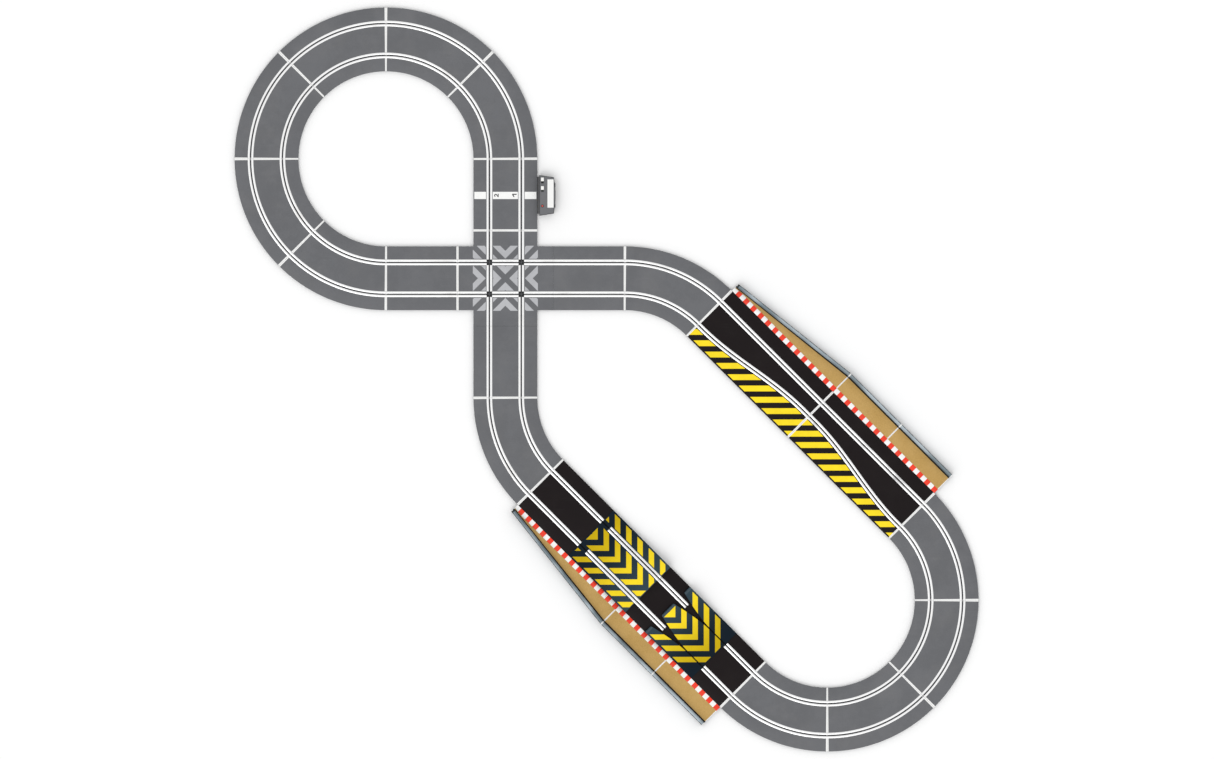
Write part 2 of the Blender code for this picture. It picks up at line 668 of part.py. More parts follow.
def make_border(name, parent, side, start, length, lead_in):
    """A kerb and run-off strip with a flange along its outer edge, and the crash barrier on the flange."""
    first, last = JOINT_GAP / 2, length - JOINT_GAP / 2
    near = HALF_WIDTH + FIT_GAP

    def outline(low, high):
        return [(start + first, side * low(first)), (start + last, side * low(last)),
                (start + last, side * high(last)), (start + first, side * high(first))]

    def edge(extra):
        return lambda x: border_edge(x, lead_in) + extra

    border = plate(name + "_border", outline(lambda x: near, edge(0)), 0, BED_HEIGHT, parent)
    flange = plate(name + "_flange", outline(edge(-OVER), edge(BARRIER_WIDTH)), 0, BARRIER_FLANGE, parent)
    join(border, flange)
    units = round(length / BORDER_UNIT)
    for unit in range(units):
        for end in (-1, 1):
            x = start + (unit + 0.5) * BORDER_UNIT + end * BORDER_TONGUE_SPACING / 2
            inner, outer = sorted((side * (near - BORDER_TONGUE_LENGTH), side * (near + OVER)))
            join(border, box(
                name + "_tongue",
                (x - BORDER_TONGUE_WIDTH / 2, inner, CLIP_BASE),
                (x + BORDER_TONGUE_WIDTH / 2, outer, CLIP_BASE + CLIP_HEIGHT), parent,
            ))
    seat = BARRIER_FLANGE + FIT_GAP
    wall = plate(
        name + "_barrier", outline(edge(FIT_GAP), edge(BARRIER_WIDTH)), seat, seat + BARRIER_BASE, parent
    )
    wall_sides = [edge(share * BARRIER_WIDTH) for share in BARRIER_WALL_SIDES]
    cap_sides = [edge(share * BARRIER_WIDTH) for share in BARRIER_CAP_SIDES]
    cap_heights = [share * BARRIER_HEIGHT for share in BARRIER_CAP_HEIGHTS]
    upright = plate(name + "_wall", outline(*wall_sides), seat + OVER, BARRIER_HEIGHT, parent)
    join(wall, upright, plate(name + "_cap", outline(*cap_sides), *cap_heights, parent))
    for x in (first + BARRIER_PEG_INSET, last - BARRIER_PEG_INSET):
        y = side * (border_edge(x, lead_in) + BARRIER_PEG_PLACE * BARRIER_WIDTH)
        low, top = BARRIER_FLANGE - BARRIER_PEG_DEPTH, (start + x, y, seat + OVER)
        join(wall, rod(name + "_peg", (start + x, y, low), top, BARRIER_PEG_RADIUS, parent, SMALL_ROUND))
        hole_radius = BARRIER_PEG_RADIUS + FIT_GAP
        cut(border, rod(name + "_hole", (start + x, y, low - FIT_GAP), top, hole_radius, parent, SMALL_ROUND))
    paint(border, TAN, 0.7)
    paint(wall, STEEL_BLUE, 0.5)


for label, parent, side in (("squeeze", squeeze, 1), ("jump", jump, -1)):
    make_border(label + "_lead_in", parent, side, 0, STRAIGHT, True)
    make_border(label + "_middle", parent, side, STRAIGHT, BORDER_UNIT, False)
    make_border(label + "_end", parent, side, STRAIGHT + BORDER_UNIT, BORDER_UNIT, False)

# Power base: x from the crossing's side of the section, the control box at -y

power = frame("power_frame", (0, CROSSING_ARM), pi / 2, origin)


def beside(distance):
    """y of a point this far outside the track edge, on the control box's side."""
    return -HALF_WIDTH - distance


def box_outline(inset):
    """The control box in plan: straight slanting ends and a front that bulges."""
    back, front = BOX_SET_OFF + inset, BOX_SET_OFF + BOX_DEPTH - inset
    points = [(START_LINE - BOX_BACK_HALF + inset, beside(back))]
    for step in range(BOX_FRONT_STEPS + 1):
        run = 2 * step / BOX_FRONT_STEPS - 1
        across = beside(front + BOX_BULGE * (1 - run * run))
        points.append((START_LINE + run * (BOX_FRONT_HALF - inset), across))
    points.append((START_LINE + BOX_BACK_HALF - inset, beside(back)))
    return points


def make_power_base():
    bed = straight_bed("power_base_bed", HALF_STRAIGHT, TWO_LANES)
    for modifier in bed.modifiers:
        modifier.object.parent = power
    bed.parent = power
    groove_floor = BED_HEIGHT + RAIL_PROUD - RAIL_THICKNESS - FIT_GAP
    for number, (low, high) in enumerate(rail_seats()):
        cut(bed, box(
            "rail_groove", (-OVER, low, groove_floor), (HALF_STRAIGHT + OVER, high, BED_HEIGHT + OVER), power,
        ))
        rail = box(
            f"power_rail_{number + 1}", (JOINT_GAP / 2, low + FIT_GAP, groove_floor + FIT_GAP),
            (HALF_STRAIGHT - JOINT_GAP / 2, high - FIT_GAP, BED_HEIGHT + RAIL_PROUD), power,
        )
        paint(rail, METAL, 0.3, 1)
    paint(bed, GREY, 0.45)
    return bed, groove_floor


def make_control_box():
    split = BOX_SPLIT
    housing = plate("control_housing", box_outline(0), 0, split, power)
    cut(housing, plate("housing_hollow", box_outline(BOX_WALL), BOX_WALL, split + OVER, power))
    join(housing, box(
        "track_flange",
        (START_LINE - BOX_FLANGE_HALF, beside(BOX_SET_OFF + OVER), 0),
        (START_LINE + BOX_FLANGE_HALF, beside(FIT_GAP), BOX_FLANGE_HEIGHT), power,
    ))
    cover = plate("control_cover", box_outline(0), split + FIT_GAP, BOX_HEIGHT, power)
    cut(cover, plate("cover_hollow", box_outline(BOX_WALL), split - OVER, BOX_HEIGHT - BOX_WALL, power))
    for end in (-1, 1):
        x, y = START_LINE + end * SCREW_SPREAD, beside(SCREW_FROM_TRACK)
        well = SCREW_HEAD_RADIUS + FIT_GAP
        join(housing, rod("housing_boss", (x, y, OVER), (x, y, 3 * BOX_WALL), well + BOX_WALL, power))
        cut(housing, rod("head_well", (x, y, -OVER), (x, y, 2 * BOX_WALL), well, power))
        cut(housing, rod("screw_hole", (x, y, -OVER), (x, y, 4 * BOX_WALL), SCREW_RADIUS + FIT_GAP, power))
        foot, top = (x, y, 3 * BOX_WALL + FIT_GAP), (x, y, BOX_HEIGHT - OVER)
        join(cover, rod("cover_boss", foot, top, SCREW_RADIUS + BOX_WALL, power))
        cut(cover, rod("cover_bore", (x, y, OVER), (x, y, split + OVER), SCREW_RADIUS + FIT_GAP, power))
        seat = 2 * BOX_WALL - FIT_GAP
        screw = rod(
            f"case_screw_{1 if end < 0 else 2}", (x, y, seat - SCREW_HEAD_HEIGHT), (x, y, seat),
            SCREW_HEAD_RADIUS, power,
        )
        join(screw, rod("shank", (x, y, BOX_WALL), (x, y, split), SCREW_RADIUS, power))
        paint(screw, METAL, 0.35, 1)
    return housing, cover


def make_socket(name, mouth, inward, housing):
    """A plug socket pushed through the housing wall from inside: a collar, a barrel and a blind bore."""
    mouth, inward = Vector(mouth), Vector(inward)
    socket = rod(name, mouth, mouth + inward * SOCKET_LENGTH, SOCKET_RADIUS, power)
    collar_start = mouth + inward * (BOX_WALL + SOCKET_COLLAR_SET_BACK)
    collar_end, bore_end = (mouth + inward * (SOCKET_LENGTH - end) for end in (OVER, SOCKET_END))
    join(socket, rod(name + "_collar", collar_start, collar_end, SOCKET_COLLAR, power))
    cut(socket, rod(name + "_bore", mouth - inward * OVER, bore_end, SOCKET_BORE, power))
    through = inward * (BOX_WALL + 3 * OVER)
    cut(housing, rod(name + "_hole", mouth - through, mouth + through, SOCKET_RADIUS + FIT_GAP, power))
    paint(socket, BLACK, 0.5)


def make_switches(cover):
    for number, place in enumerate(SWITCH_PLACES):
        x, y = START_LINE + place, beside(SWITCH_FROM_TRACK)
        half, stem = SWITCH_LENGTH / 2, SWITCH_STEM / 2
        name = f"lane_switch_{number + 1}"
        rest = x + SWITCH_TRAVEL / 2
        knob = box(
            name, (rest - half, y - SWITCH_WIDTH / 2, BOX_HEIGHT + FIT_GAP),
            (rest + half, y + SWITCH_WIDTH / 2, BOX_HEIGHT + FIT_GAP + SWITCH_PROUD), power,
        )
        foot_top = BOX_HEIGHT - BOX_WALL - FIT_GAP
        join(knob, box(
            name + "_stem", (rest - stem, y - stem, foot_top - OVER),
            (rest + stem, y + stem, BOX_HEIGHT + FIT_GAP + OVER), power,
        ))
        join(knob, box(
            name + "_foot", (rest - half, y - SWITCH_WIDTH / 2, foot_top - SWITCH_FOOT),
            (rest + half, y + SWITCH_WIDTH / 2, foot_top), power,
        ))
        reach = (SWITCH_TRAVEL + SWITCH_STEM) / 2 + FIT_GAP
        cut(cover, box(
            name + "_opening", (x - reach, y - stem - FIT_GAP, BOX_SPLIT),
            (x + reach, y + stem + FIT_GAP, BOX_HEIGHT + OVER), power,
        ))
        paint(knob, WHITE, 0.4)


def make_feeds(bed, housing, groove_floor):
    """Flat metal strips from the circuit board, under the bed, up to the rails."""
    top = FEED_BASE + FEED_THICKNESS
    middles = [(low + high) / 2 for low, high in rail_seats()]
    names = ("feed_common", "feed_lane_1", "feed_lane_2")
    feeds = zip(names, FEED_PLACES, (middles[1::2], middles[:1], middles[2:3]))
    board_end = beside(BOX_SET_OFF + BOX_WALL + FEED_BOARD_PLACE)
    for name, x, targets in feeds:
        half, gap = FEED_WIDTH / 2, FEED_WIDTH / 2 + FIT_GAP
        tab = half - FEED_TAB_SHOULDER
        far = max(targets) + half
        strip = box(name, (x - half, board_end - half, FEED_BASE), (x + half, far, top), power)
        join(strip, box(
            name + "_board_tab", (x - tab, board_end - tab, FEED_BASE + FEED_THICKNESS / 2),
            (x + tab, board_end - tab + FEED_THICKNESS, BOARD_UNDERSIDE - FIT_GAP), power,
        ))
        for piece in (bed, housing):
            cut(piece, box(
                name + "_channel",
                (x - gap, board_end - half - FIT_GAP, -OVER), (x + gap, far + FIT_GAP, top + FIT_GAP), power,
            ))
        cut(housing, box(
            name + "_floor_slot", (x - gap, board_end - half - FIT_GAP, -OVER),
            (x + gap, board_end + half + FIT_GAP, 2 * BOX_WALL), power,
        ))
        for middle in targets:
            join(strip, box(
                name + "_rail_tab", (x - tab, middle - FEED_THICKNESS / 2, FEED_BASE + FEED_THICKNESS / 2),
                (x + tab, middle + FEED_THICKNESS / 2, groove_floor), power,
            ))
            cut(bed, box(
                name + "_hole", (x - gap, middle - FEED_THICKNESS / 2 - FIT_GAP, -OVER),
                (x + gap, middle + FEED_THICKNESS / 2 + FIT_GAP, BED_HEIGHT), power,
            ))
        paint(strip, BRASS, 0.35, 1)


power_bed, power_groove = make_power_base()
control_housing, control_cover = make_control_box()
front_of_box = BOX_SET_OFF + BOX_DEPTH + BOX_BULGE * (1 - (SOCKET_SPREAD / BOX_FRONT_HALF) ** 2)
for number, side in enumerate((-1, 1)):
    place = START_LINE + side * SOCKET_SPREAD, beside(front_of_box + OVER), SOCKET_HEIGHT
    make_socket(f"controller_socket_{number + 1}", place, (0, 1, 0), control_housing)
place = START_LINE - BOX_BACK_HALF + BOX_WALL, beside(INLET_FROM_TRACK), SOCKET_HEIGHT
make_socket("power_inlet", place, (1, 0, 0), control_housing)
make_switches(control_cover)
make_feeds(power_bed, control_housing, power_groove)

lens_at = START_LINE + LENS_PLACE, beside(SWITCH_FROM_TRACK)
board_top = BOARD_UNDERSIDE + BOARD_THICKNESS
lens = rod("indicator_lens", (*lens_at, board_top + FIT_GAP), (*lens_at, BOX_HEIGHT + OVER), LENS_RADIUS, power)
cut(control_cover, rod(
    "lens_hole", (*lens_at, BOX_SPLIT), (*lens_at, BOX_HEIGHT + 2 * OVER), LENS_RADIUS + FIT_GAP, power
))
board_near, board_far = (beside(BOX_SET_OFF + side) for side in BOARD_SIDES)
board = box(
    "circuit_board", (START_LINE + BOARD_ENDS[0], board_far, BOARD_UNDERSIDE),
    (START_LINE + BOARD_ENDS[1], board_near, board_top), power,
)
for place in BOARD_RIB_PLACES:
    join(control_housing, box(
        "board_rib", (START_LINE + place - OVER, board_far, OVER),
        (START_LINE + place + OVER, board_far + BOARD_RIB_LENGTH, BOARD_UNDERSIDE - FIT_GAP), power,
    ))
paint(lens, LENS_RED, 0.2)
paint(board, BOARD_GREEN, 0.5)
paint(control_housing, DARK_GREY, 0.5)
paint(control_cover, GREY, 0.45)
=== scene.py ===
"""Slot car track set: the moulded sections, rails, ramps, borders and control box with their finishes.

Sizes are in metres, +Z is up. A section is made in its own frame, x along the lane and y across it,
and is then placed; its finished object sits at the origin with its place in its mesh.
"""

from itertools import pairwise, product
from math import atan2, cos, hypot, pi, radians, sin, sqrt

import bmesh
import bpy
from mathutils import Matrix, Vector


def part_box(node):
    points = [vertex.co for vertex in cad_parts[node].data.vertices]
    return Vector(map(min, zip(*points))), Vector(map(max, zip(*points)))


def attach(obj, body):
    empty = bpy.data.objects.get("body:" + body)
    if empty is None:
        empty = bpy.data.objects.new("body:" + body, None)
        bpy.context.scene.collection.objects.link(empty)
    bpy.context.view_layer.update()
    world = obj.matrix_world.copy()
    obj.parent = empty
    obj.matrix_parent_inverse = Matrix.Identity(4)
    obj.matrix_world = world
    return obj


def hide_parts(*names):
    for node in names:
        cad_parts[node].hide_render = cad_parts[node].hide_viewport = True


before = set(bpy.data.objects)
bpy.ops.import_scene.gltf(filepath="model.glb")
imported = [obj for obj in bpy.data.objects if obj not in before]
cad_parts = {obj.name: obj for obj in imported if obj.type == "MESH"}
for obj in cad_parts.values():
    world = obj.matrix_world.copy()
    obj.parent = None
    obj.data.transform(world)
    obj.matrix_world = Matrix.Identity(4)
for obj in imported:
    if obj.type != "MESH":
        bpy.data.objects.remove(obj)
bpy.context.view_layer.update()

MM = 0.001

# Layout and section moulding, as in the solids
HALF_WIDTH = 78 * MM
LANE = 39 * MM
CURVE_RADIUS = 292 * MM
CURVE_ANGLE = radians(45)
HALF_STRAIGHT = 175 * MM
STRAIGHT = 350 * MM
CROSSING_ARM = CURVE_RADIUS - HALF_STRAIGHT
BED_HEIGHT = 8 * MM
BED_SKIN = 2.2 * MM
BED_WALL = 2.5 * MM
SLOT_HALF = 1.6 * MM
SLOT_DEPTH = 6 * MM
SLOT_WEB = 1.8 * MM
JOINT_GAP = 0.3 * MM
FIT_GAP = 0.3 * MM
CLIP_OFFSET = 20 * MM
CLIP_WIDTH = 10 * MM
CLIP_HEIGHT = 3 * MM
CLIP_LENGTH = 9 * MM
CLIP_BASE = 1.8 * MM

# Rails, which fill a shallow step beside each slot
RAIL_NEAR = 1.7 * MM
RAIL_FAR = 6.9 * MM
RAIL_STEP = 7.05 * MM
RAIL_STEP_DEPTH = 0.75 * MM
RAIL_BOTTOM = 7.3 * MM
RAIL_TOP = 8.25 * MM
RAIL_EDGE = 0.3 * MM

# Fine moulding
TINY = 0.01 * MM
TOP_EDGE = 0.6 * MM
OUTER_WALL_AREA = 400 * MM * MM
CURVE_STEP = 9 * MM
SQUEEZE_STEP = 12 * MM
END_BAND = 2.5 * MM
SHADED_SHARP = radians(32)
EASED_SHARP = radians(40)
RIB = 1.2 * MM
RIB_SPACING = 40 * MM

# Squeeze
SQUEEZE_SHIFT = 33.7 * MM
SQUEEZE_START = 10 * MM
SQUEEZE_RUN = 320 * MM
HAZARD_MARGIN = 3.8 * MM
HAZARD_RAIL_MARGIN = 2 * MM
HAZARD_START = 54.6 * MM
HAZARD_STRIPE = 20 * MM
HAZARD_PERIOD = 39.1 * MM

# Jump ramps
RAMP_BASE = BED_HEIGHT + FIT_GAP
RAMP_FOOT = 1.2 * MM
RAMP_WALL = 2.5 * MM
RAMP_STEP = 7 * MM
TAKEOFF_START = 175 * MM
TAKEOFF_END = 372 * MM
TAKEOFF_RISE = 18 * MM
TAKEOFF_RAIL_START = 200 * MM
CREST_FLAT = 8 * MM
LANDING_START = 438.7 * MM
LANDING_END = 600 * MM
LANDING_RISE = 14 * MM
LANDING_LIP = 7.3 * MM
FUNNEL_FLOOR_START = 468 * MM
FUNNEL_MOUTH = 19 * MM
FUNNEL_THROAT_END = 542 * MM
FINGER_CORNER = 3.5 * MM
KEEL_DEPTH = 4 * MM
KEEL_LENGTH = 40 * MM
JUMP_RAIL_GAP = (468 * MM, 602 * MM)
CHEVRON_STRIPE = 18.5 * MM
CHEVRON_PERIOD = 38.95 * MM
TAKEOFF_CHEVRONS = 179.9 * MM
LANDING_CHEVRONS = 448.2 * MM
CHEVRON_MARGIN = 4.2 * MM
CHEVRON_LANE_MARGIN = 9.3 * MM
TAKEOFF_CHEVRON_COUNT = 7
LANDING_CHEVRON_COUNT = 5

# Borders and barriers
BORDER_UNIT = HALF_STRAIGHT
BORDER_WIDTH = 52 * MM
BORDER_TIP_WIDTH = 12 * MM
BORDER_TONGUE_WIDTH = 12 * MM
BORDER_TONGUE_LENGTH = 8 * MM
BORDER_TONGUE_SPACING = 105 * MM
KERB_WIDTH = 12.7 * MM
KERB_BLOCK = 12.5 * MM
KERB_RISE = 0.5 * MM
KERB_SLOPE = 0.35 * MM
KERB_CROWN = 0.2 * MM
EDGE_LINE = 1.6 * MM
DIVIDER = 1.5 * MM
BARRIER_WIDTH = 11 * MM
BARRIER_HEIGHT = 22 * MM
BARRIER_FLANGE = 4 * MM
BARRIER_POST_SPACING = 29 * MM
POST_HALF = 1.6 * MM
BOLT_HEIGHTS = (12.2 * MM, 18.2 * MM)
END_CAP = 6 * MM
PEG_SET_IN = 30 * MM
PEG_RADIUS = 2 * MM

# Control box
START_LINE = 85.5 * MM
START_BAND = 17.6 * MM
BOX_SET_OFF = 5.4 * MM
BOX_HEIGHT = 24 * MM
LABEL_ENDS = (-30 * MM, 39 * MM)
LABEL_SIDES = (-40 * MM, -25 * MM)
COVER_RIM = 1.3 * MM

# Printed films and marks
FILM = 0.06 * MM
FILM_SINK = 0.05 * MM
START_EDGE_MARGIN = 2.2 * MM
START_RAIL_MARGIN = 1.2 * MM
CROSSING_BANDS = ((9.5 * MM, 28.5 * MM), (48 * MM, 67 * MM))
CROSSING_PRINT_EDGE = 79.5 * MM
CROSSING_RAIL_MARGIN = 1.6 * MM
PRINT_FOOT = 3 * MM
PRINT_CREST = 2 * MM
PRINT_LIP = 1 * MM
LANDING_TIPS = 1.8

REACH = CURVE_RADIUS / sqrt(2)
low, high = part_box("crossing_bed")
CROSSING = Matrix.Translation(((low.x + high.x) / 2, (low.y + high.y) / 2, 0))


def placed(place, turn=0.0):
    """The frame of a section, from its place beside the crossing's middle and its turn."""
    return CROSSING @ Matrix.Translation((*place, 0)) @ Matrix.Rotation(turn, 4, "Z")


SQUEEZE = placed((CURVE_RADIUS + REACH, REACH - CURVE_RADIUS), -pi / 4)
JUMP = placed((CURVE_RADIUS - REACH, -CURVE_RADIUS - REACH), -pi / 4)
POWER = placed((0, CROSSING_ARM), pi / 2)
FAR_END = CURVE_RADIUS + 2 * STRAIGHT / sqrt(2)

# Finishes: shared effects


def feed(tree, socket, value):
    """Links a node's output to a socket, or sets the socket's own value."""
    if isinstance(value, bpy.types.NodeSocket):
        tree.links.new(value, socket)
    else:
        socket.default_value = value


def maths(tree, operation, *values):
    """One maths node."""
    node = tree.nodes.new("ShaderNodeMath")
    node.operation = operation
    for socket, value in zip(node.inputs, values):
        feed(tree, socket, value)
    return node.outputs[0]


def between(tree, value, lowest, highest):
    """A mask that is 1 where the value lies between two limits."""
    return maths(tree, "MULTIPLY", maths(tree, "GREATER_THAN", value, lowest),
                 maths(tree, "LESS_THAN", value, highest))


def spread(tree, value, low_in, high_in, low_out=0.0, high_out=1.0):
    """Maps a range of values smoothly to another range."""
    node = tree.nodes.new("ShaderNodeMapRange")
    node.interpolation_type = "SMOOTHSTEP"
    for socket, number in zip(node.inputs, (value, low_in, high_in, low_out, high_out)):
        feed(tree, socket, number)
    return node.outputs[0]


def mixed(tree, share, first, second):
    """The first colour, going over to the second as the share rises."""
    node = tree.nodes.new("ShaderNodeMix")
    node.data_type = "RGBA"
    feed(tree, node.inputs[0], share)
    for socket, colour in ((node.inputs[6], first), (node.inputs[7], second)):
        feed(tree, socket, (*colour, 1) if isinstance(colour, tuple) else colour)
    return node.outputs[2]


def noise(tree, vector, scale, detail=2.0, roughness=0.5):
    node = tree.nodes.new("ShaderNodeTexNoise")
    feed(tree, node.inputs["Vector"], vector)
    node.inputs["Scale"].default_value = scale
    node.inputs["Detail"].default_value = detail
    node.inputs["Roughness"].default_value = roughness
    return node.outputs["Fac"]


def stretched(tree, vector, scale, turn=0.0):
    node = tree.nodes.new("ShaderNodeMapping")
    feed(tree, node.inputs["Vector"], vector)
    node.inputs["Scale"].default_value = scale
    node.inputs["Rotation"].default_value = (0, 0, turn)
    return node.outputs[0]


def effect(name, outputs):
    """An empty node group that takes a position and gives named masks."""
    tree = bpy.data.node_groups.new(name, "ShaderNodeTree")
    tree.interface.new_socket("Position", in_out="INPUT", socket_type="NodeSocketVector")
    for label in outputs:
        tree.interface.new_socket(label, in_out="OUTPUT", socket_type="NodeSocketFloat")
    position = tree.nodes.new("NodeGroupInput").outputs["Position"]
    return tree, position, tree.nodes.new("NodeGroupOutput")


def make_moulded_grain():
    """Slow mottling of the plastic's tone, and the fine spark-eroded grain of the mould."""
    tree, position, out = effect("moulded_grain", ("Tone", "Grain"))
    tone = noise(tree, position, 9, 3)
    for scale, share in ((60, 0.5), (330, 0.45)):
        tone = maths(tree, "MULTIPLY_ADD", noise(tree, position, scale, 3), share, tone)
    feed(tree, out.inputs["Tone"], spread(tree, tone, 0.7, 1.25))
    fine = maths(tree, "ADD", noise(tree, position, 1400, 2), noise(tree, position, 420, 3))
    feed(tree, out.inputs["Grain"], spread(tree, fine, 0.7, 1.3))
    return tree


def make_handling_scuffs():
    """Hairline scratches in three directions, gathered into patches where hands and cars rub."""
    tree, position, out = effect("handling_scuffs", ("Scuffs",))
    lines = 0.0
    for turn, along, across in ((0.35, 9, 900), (-0.9, 14, 1100), (1.45, 7, 800)):
        streak = noise(tree, stretched(tree, position, (along, across, 20), turn), 1, 2)
        lines = maths(tree, "MAXIMUM", lines, spread(tree, streak, 0.64, 0.72))
    patches = spread(tree, noise(tree, position, 22, 3), 0.45, 0.7)
    feed(tree, out.inputs["Scuffs"], maths(tree, "MULTIPLY", lines, patches))
    return tree


def make_settled_dust():
    """Dust that lies in soft patches on faces that look up."""
    tree, position, out = effect("settled_dust", ("Dust",))
    patches = spread(tree, noise(tree, position, 14, 5, 0.65), 0.42, 0.75)
    specks = spread(tree, noise(tree, position, 700, 1), 0.66, 0.74)
    normal = tree.nodes.new("ShaderNodeSeparateXYZ")
    feed(tree, normal.inputs[0], tree.nodes.new("ShaderNodeNewGeometry").outputs["Normal"])
    lying = spread(tree, normal.outputs["Z"], 0.3, 0.95)
    both = maths(tree, "MAXIMUM", patches, maths(tree, "MULTIPLY", specks, 0.6))
    feed(tree, out.inputs["Dust"], maths(tree, "MULTIPLY", both, lying))
    return tree


def make_rail_tarnish_and_painted_reflection():
    """Contact marks: fine drawing lines and dull smears. Where the smears are made strong and dark, they are
    also painted reflection.
    """
    tree, position, out = effect("rail_tarnish_and_painted_reflection", ("Smears_and_reflection", "Lines"))
    smears_and_reflection = spread(tree, noise(tree, position, 11, 4, 0.6), 0.5, 0.78)
    feed(tree, out.inputs["Smears_and_reflection"], smears_and_reflection)
    crossed = maths(tree, "ADD", noise(tree, stretched(tree, position, (900, 60, 60)), 1, 2),
                    noise(tree, stretched(tree, position, (60, 900, 60)), 1, 2))
    feed(tree, out.inputs["Lines"], spread(tree, crossed, 0.75, 1.25))
    return tree


def make_sand():
    """Gravel run-off: coarse tan speckle over rolling light and dark patches."""
    tree, position, out = effect("gravel_run_off", ("Stones", "Patches"))
    cells = tree.nodes.new("ShaderNodeTexVoronoi")
    cells.inputs["Scale"].default_value = 620
    feed(tree, cells.inputs["Vector"], position)
    feed(tree, out.inputs["Stones"], spread(tree, cells.outputs["Distance"], 0.1, 0.75))
    feed(tree, out.inputs["Patches"], noise(tree, position, 28, 4, 0.6))
    return tree


EFFECTS = {
    "grain": make_moulded_grain(), "scuffs": make_handling_scuffs(), "dust": make_settled_dust(),
    "tarnish_and_reflection": make_rail_tarnish_and_painted_reflection(), "sand": make_sand(),
}


def object_position(tree):
    return tree.nodes.new("ShaderNodeTexCoord").outputs["Object"]


def with_effect(tree, name, position):
    node = tree.nodes.new("ShaderNodeGroup")
    node.node_tree = EFFECTS[name]
    feed(tree, node.inputs["Position"], position)
    return node.outputs


def section_axes(tree, place):
    """(along, across) of a section, as its own frame measures them."""
    node = tree.nodes.new("ShaderNodeMapping")
    node.vector_type = "TEXTURE"
    feed(tree, node.inputs["Vector"], object_position(tree))
    node.inputs["Location"].default_value = place.translation
    node.inputs["Rotation"].default_value = place.to_euler()
    axes = tree.nodes.new("ShaderNodeSeparateXYZ")
    feed(tree, axes.inputs[0], node.outputs[0])
    return axes.outputs["X"], axes.outputs["Y"]


def stripes(tree, value, start, stripe, period):
    """A mask of even stripes, the first of which begins at the start."""
    share = maths(tree, "FRACT", maths(tree, "DIVIDE", maths(tree, "SUBTRACT", value, start), period))
    return maths(tree, "LESS_THAN", share, stripe / period)


def new_finish(name, roughness, metallic=0.0, specular=0.5):
    """A new material with its tree and its shader."""
    material = bpy.data.materials.new(name)
    material.use_nodes = True
    tree = material.node_tree
    shader = tree.nodes["Principled BSDF"]
    shader.inputs["Roughness"].default_value = roughness
    shader.inputs["Metallic"].default_value = metallic
    shader.inputs["Specular IOR Level"].default_value = specular
    return material, tree, shader


def relief(tree, shader, height, depth, strength):
    """Gives a shader a bump from a height."""
    node = tree.nodes.new("ShaderNodeBump")
    node.inputs["Distance"].default_value = depth
    node.inputs["Strength"].default_value = strength
    feed(tree, node.inputs["Height"], height)
    feed(tree, shader.inputs["Normal"], node.outputs[0])


def plastic(name, colour, roughness=0.45, specular=0.3, tone=0.06, scuffs=0.2, dust=0.05, grain=0.35):
    """Moulded plastic. The colour is three numbers, or a function that draws a printed pattern."""
    material, tree, shader = new_finish(name, roughness, 0, specular)
    position = object_position(tree)
    mottled = with_effect(tree, "grain", position)
    rubbed = with_effect(tree, "scuffs", position)["Scuffs"]
    dusty = with_effect(tree, "dust", position)["Dust"]
    shade = tree.nodes.new("ShaderNodeHueSaturation")
    feed(tree, shade.inputs["Color"], colour(tree) if callable(colour) else (*colour, 1))
    feed(tree, shade.inputs["Value"], spread(tree, mottled["Tone"], 0, 1, 1 - tone, 1 + tone))
    worn = mixed(tree, maths(tree, "MULTIPLY", rubbed, scuffs * 0.25), shade.outputs[0], (0.5, 0.5, 0.5))
    top = mixed(tree, maths(tree, "MULTIPLY", dusty, dust), worn, (0.42, 0.39, 0.35))
    feed(tree, shader.inputs["Base Color"], top)
    rough = maths(tree, "ADD", spread(tree, mottled["Tone"], 0, 1, roughness - 0.05, roughness + 0.05),
                  maths(tree, "MULTIPLY", rubbed, 0.25 * scuffs))
    feed(tree, shader.inputs["Roughness"], maths(tree, "ADD", rough, maths(tree, "MULTIPLY", dusty, dust)))
    height = maths(tree, "SUBTRACT", mottled["Grain"], maths(tree, "MULTIPLY", rubbed, 2 * scuffs))
    relief(tree, shader, height, 0.06 * MM, grain)
    return material


def metal(name, colour, dull_and_reflection_colour, roughness=0.28, smears_and_reflection=0.35):
    """Plated or brushed strip with dull smears and drawing lines. The smears are tarnish, and on the dulled
    rails they are also painted reflection.
    """
    material, tree, shader = new_finish(name, roughness, 1)
    marks = with_effect(tree, "tarnish_and_reflection", object_position(tree))
    smeared_and_reflecting = mixed(tree, maths(tree, "MULTIPLY", marks["Smears_and_reflection"], smears_and_reflection), colour, dull_and_reflection_colour)
    feed(tree, shader.inputs["Base Color"], smeared_and_reflecting)
    feed(tree, shader.inputs["Roughness"], spread(tree, marks["Smears_and_reflection"], 0, 1, roughness, roughness + 0.25))
    relief(tree, shader, marks["Lines"], 0.02 * MM, 0.3)
    return material


def gravel(name, colour, dark):
    """Stones moulded into the run-off, in rolling patches."""
    material, tree, shader = new_finish(name, 0.85, 0, 0.15)
    stones = with_effect(tree, "sand", object_position(tree))
    spotted = mixed(tree, maths(tree, "MULTIPLY", stones["Stones"], 0.35), colour, dark)
    rolled = mixed(tree, spread(tree, stones["Patches"], 0.3, 0.7, 0, 0.16), spotted, (0.72, 0.5, 0.22))
    feed(tree, shader.inputs["Base Color"], rolled)
    feed(tree, shader.inputs["Roughness"], spread(tree, stones["Stones"], 0, 1, 0.75, 0.95))
    relief(tree, shader, maths(tree, "SUBTRACT", 1, stones["Stones"]), 0.4 * MM, 0.6)
    return material


# Finishes: colours and printed patterns

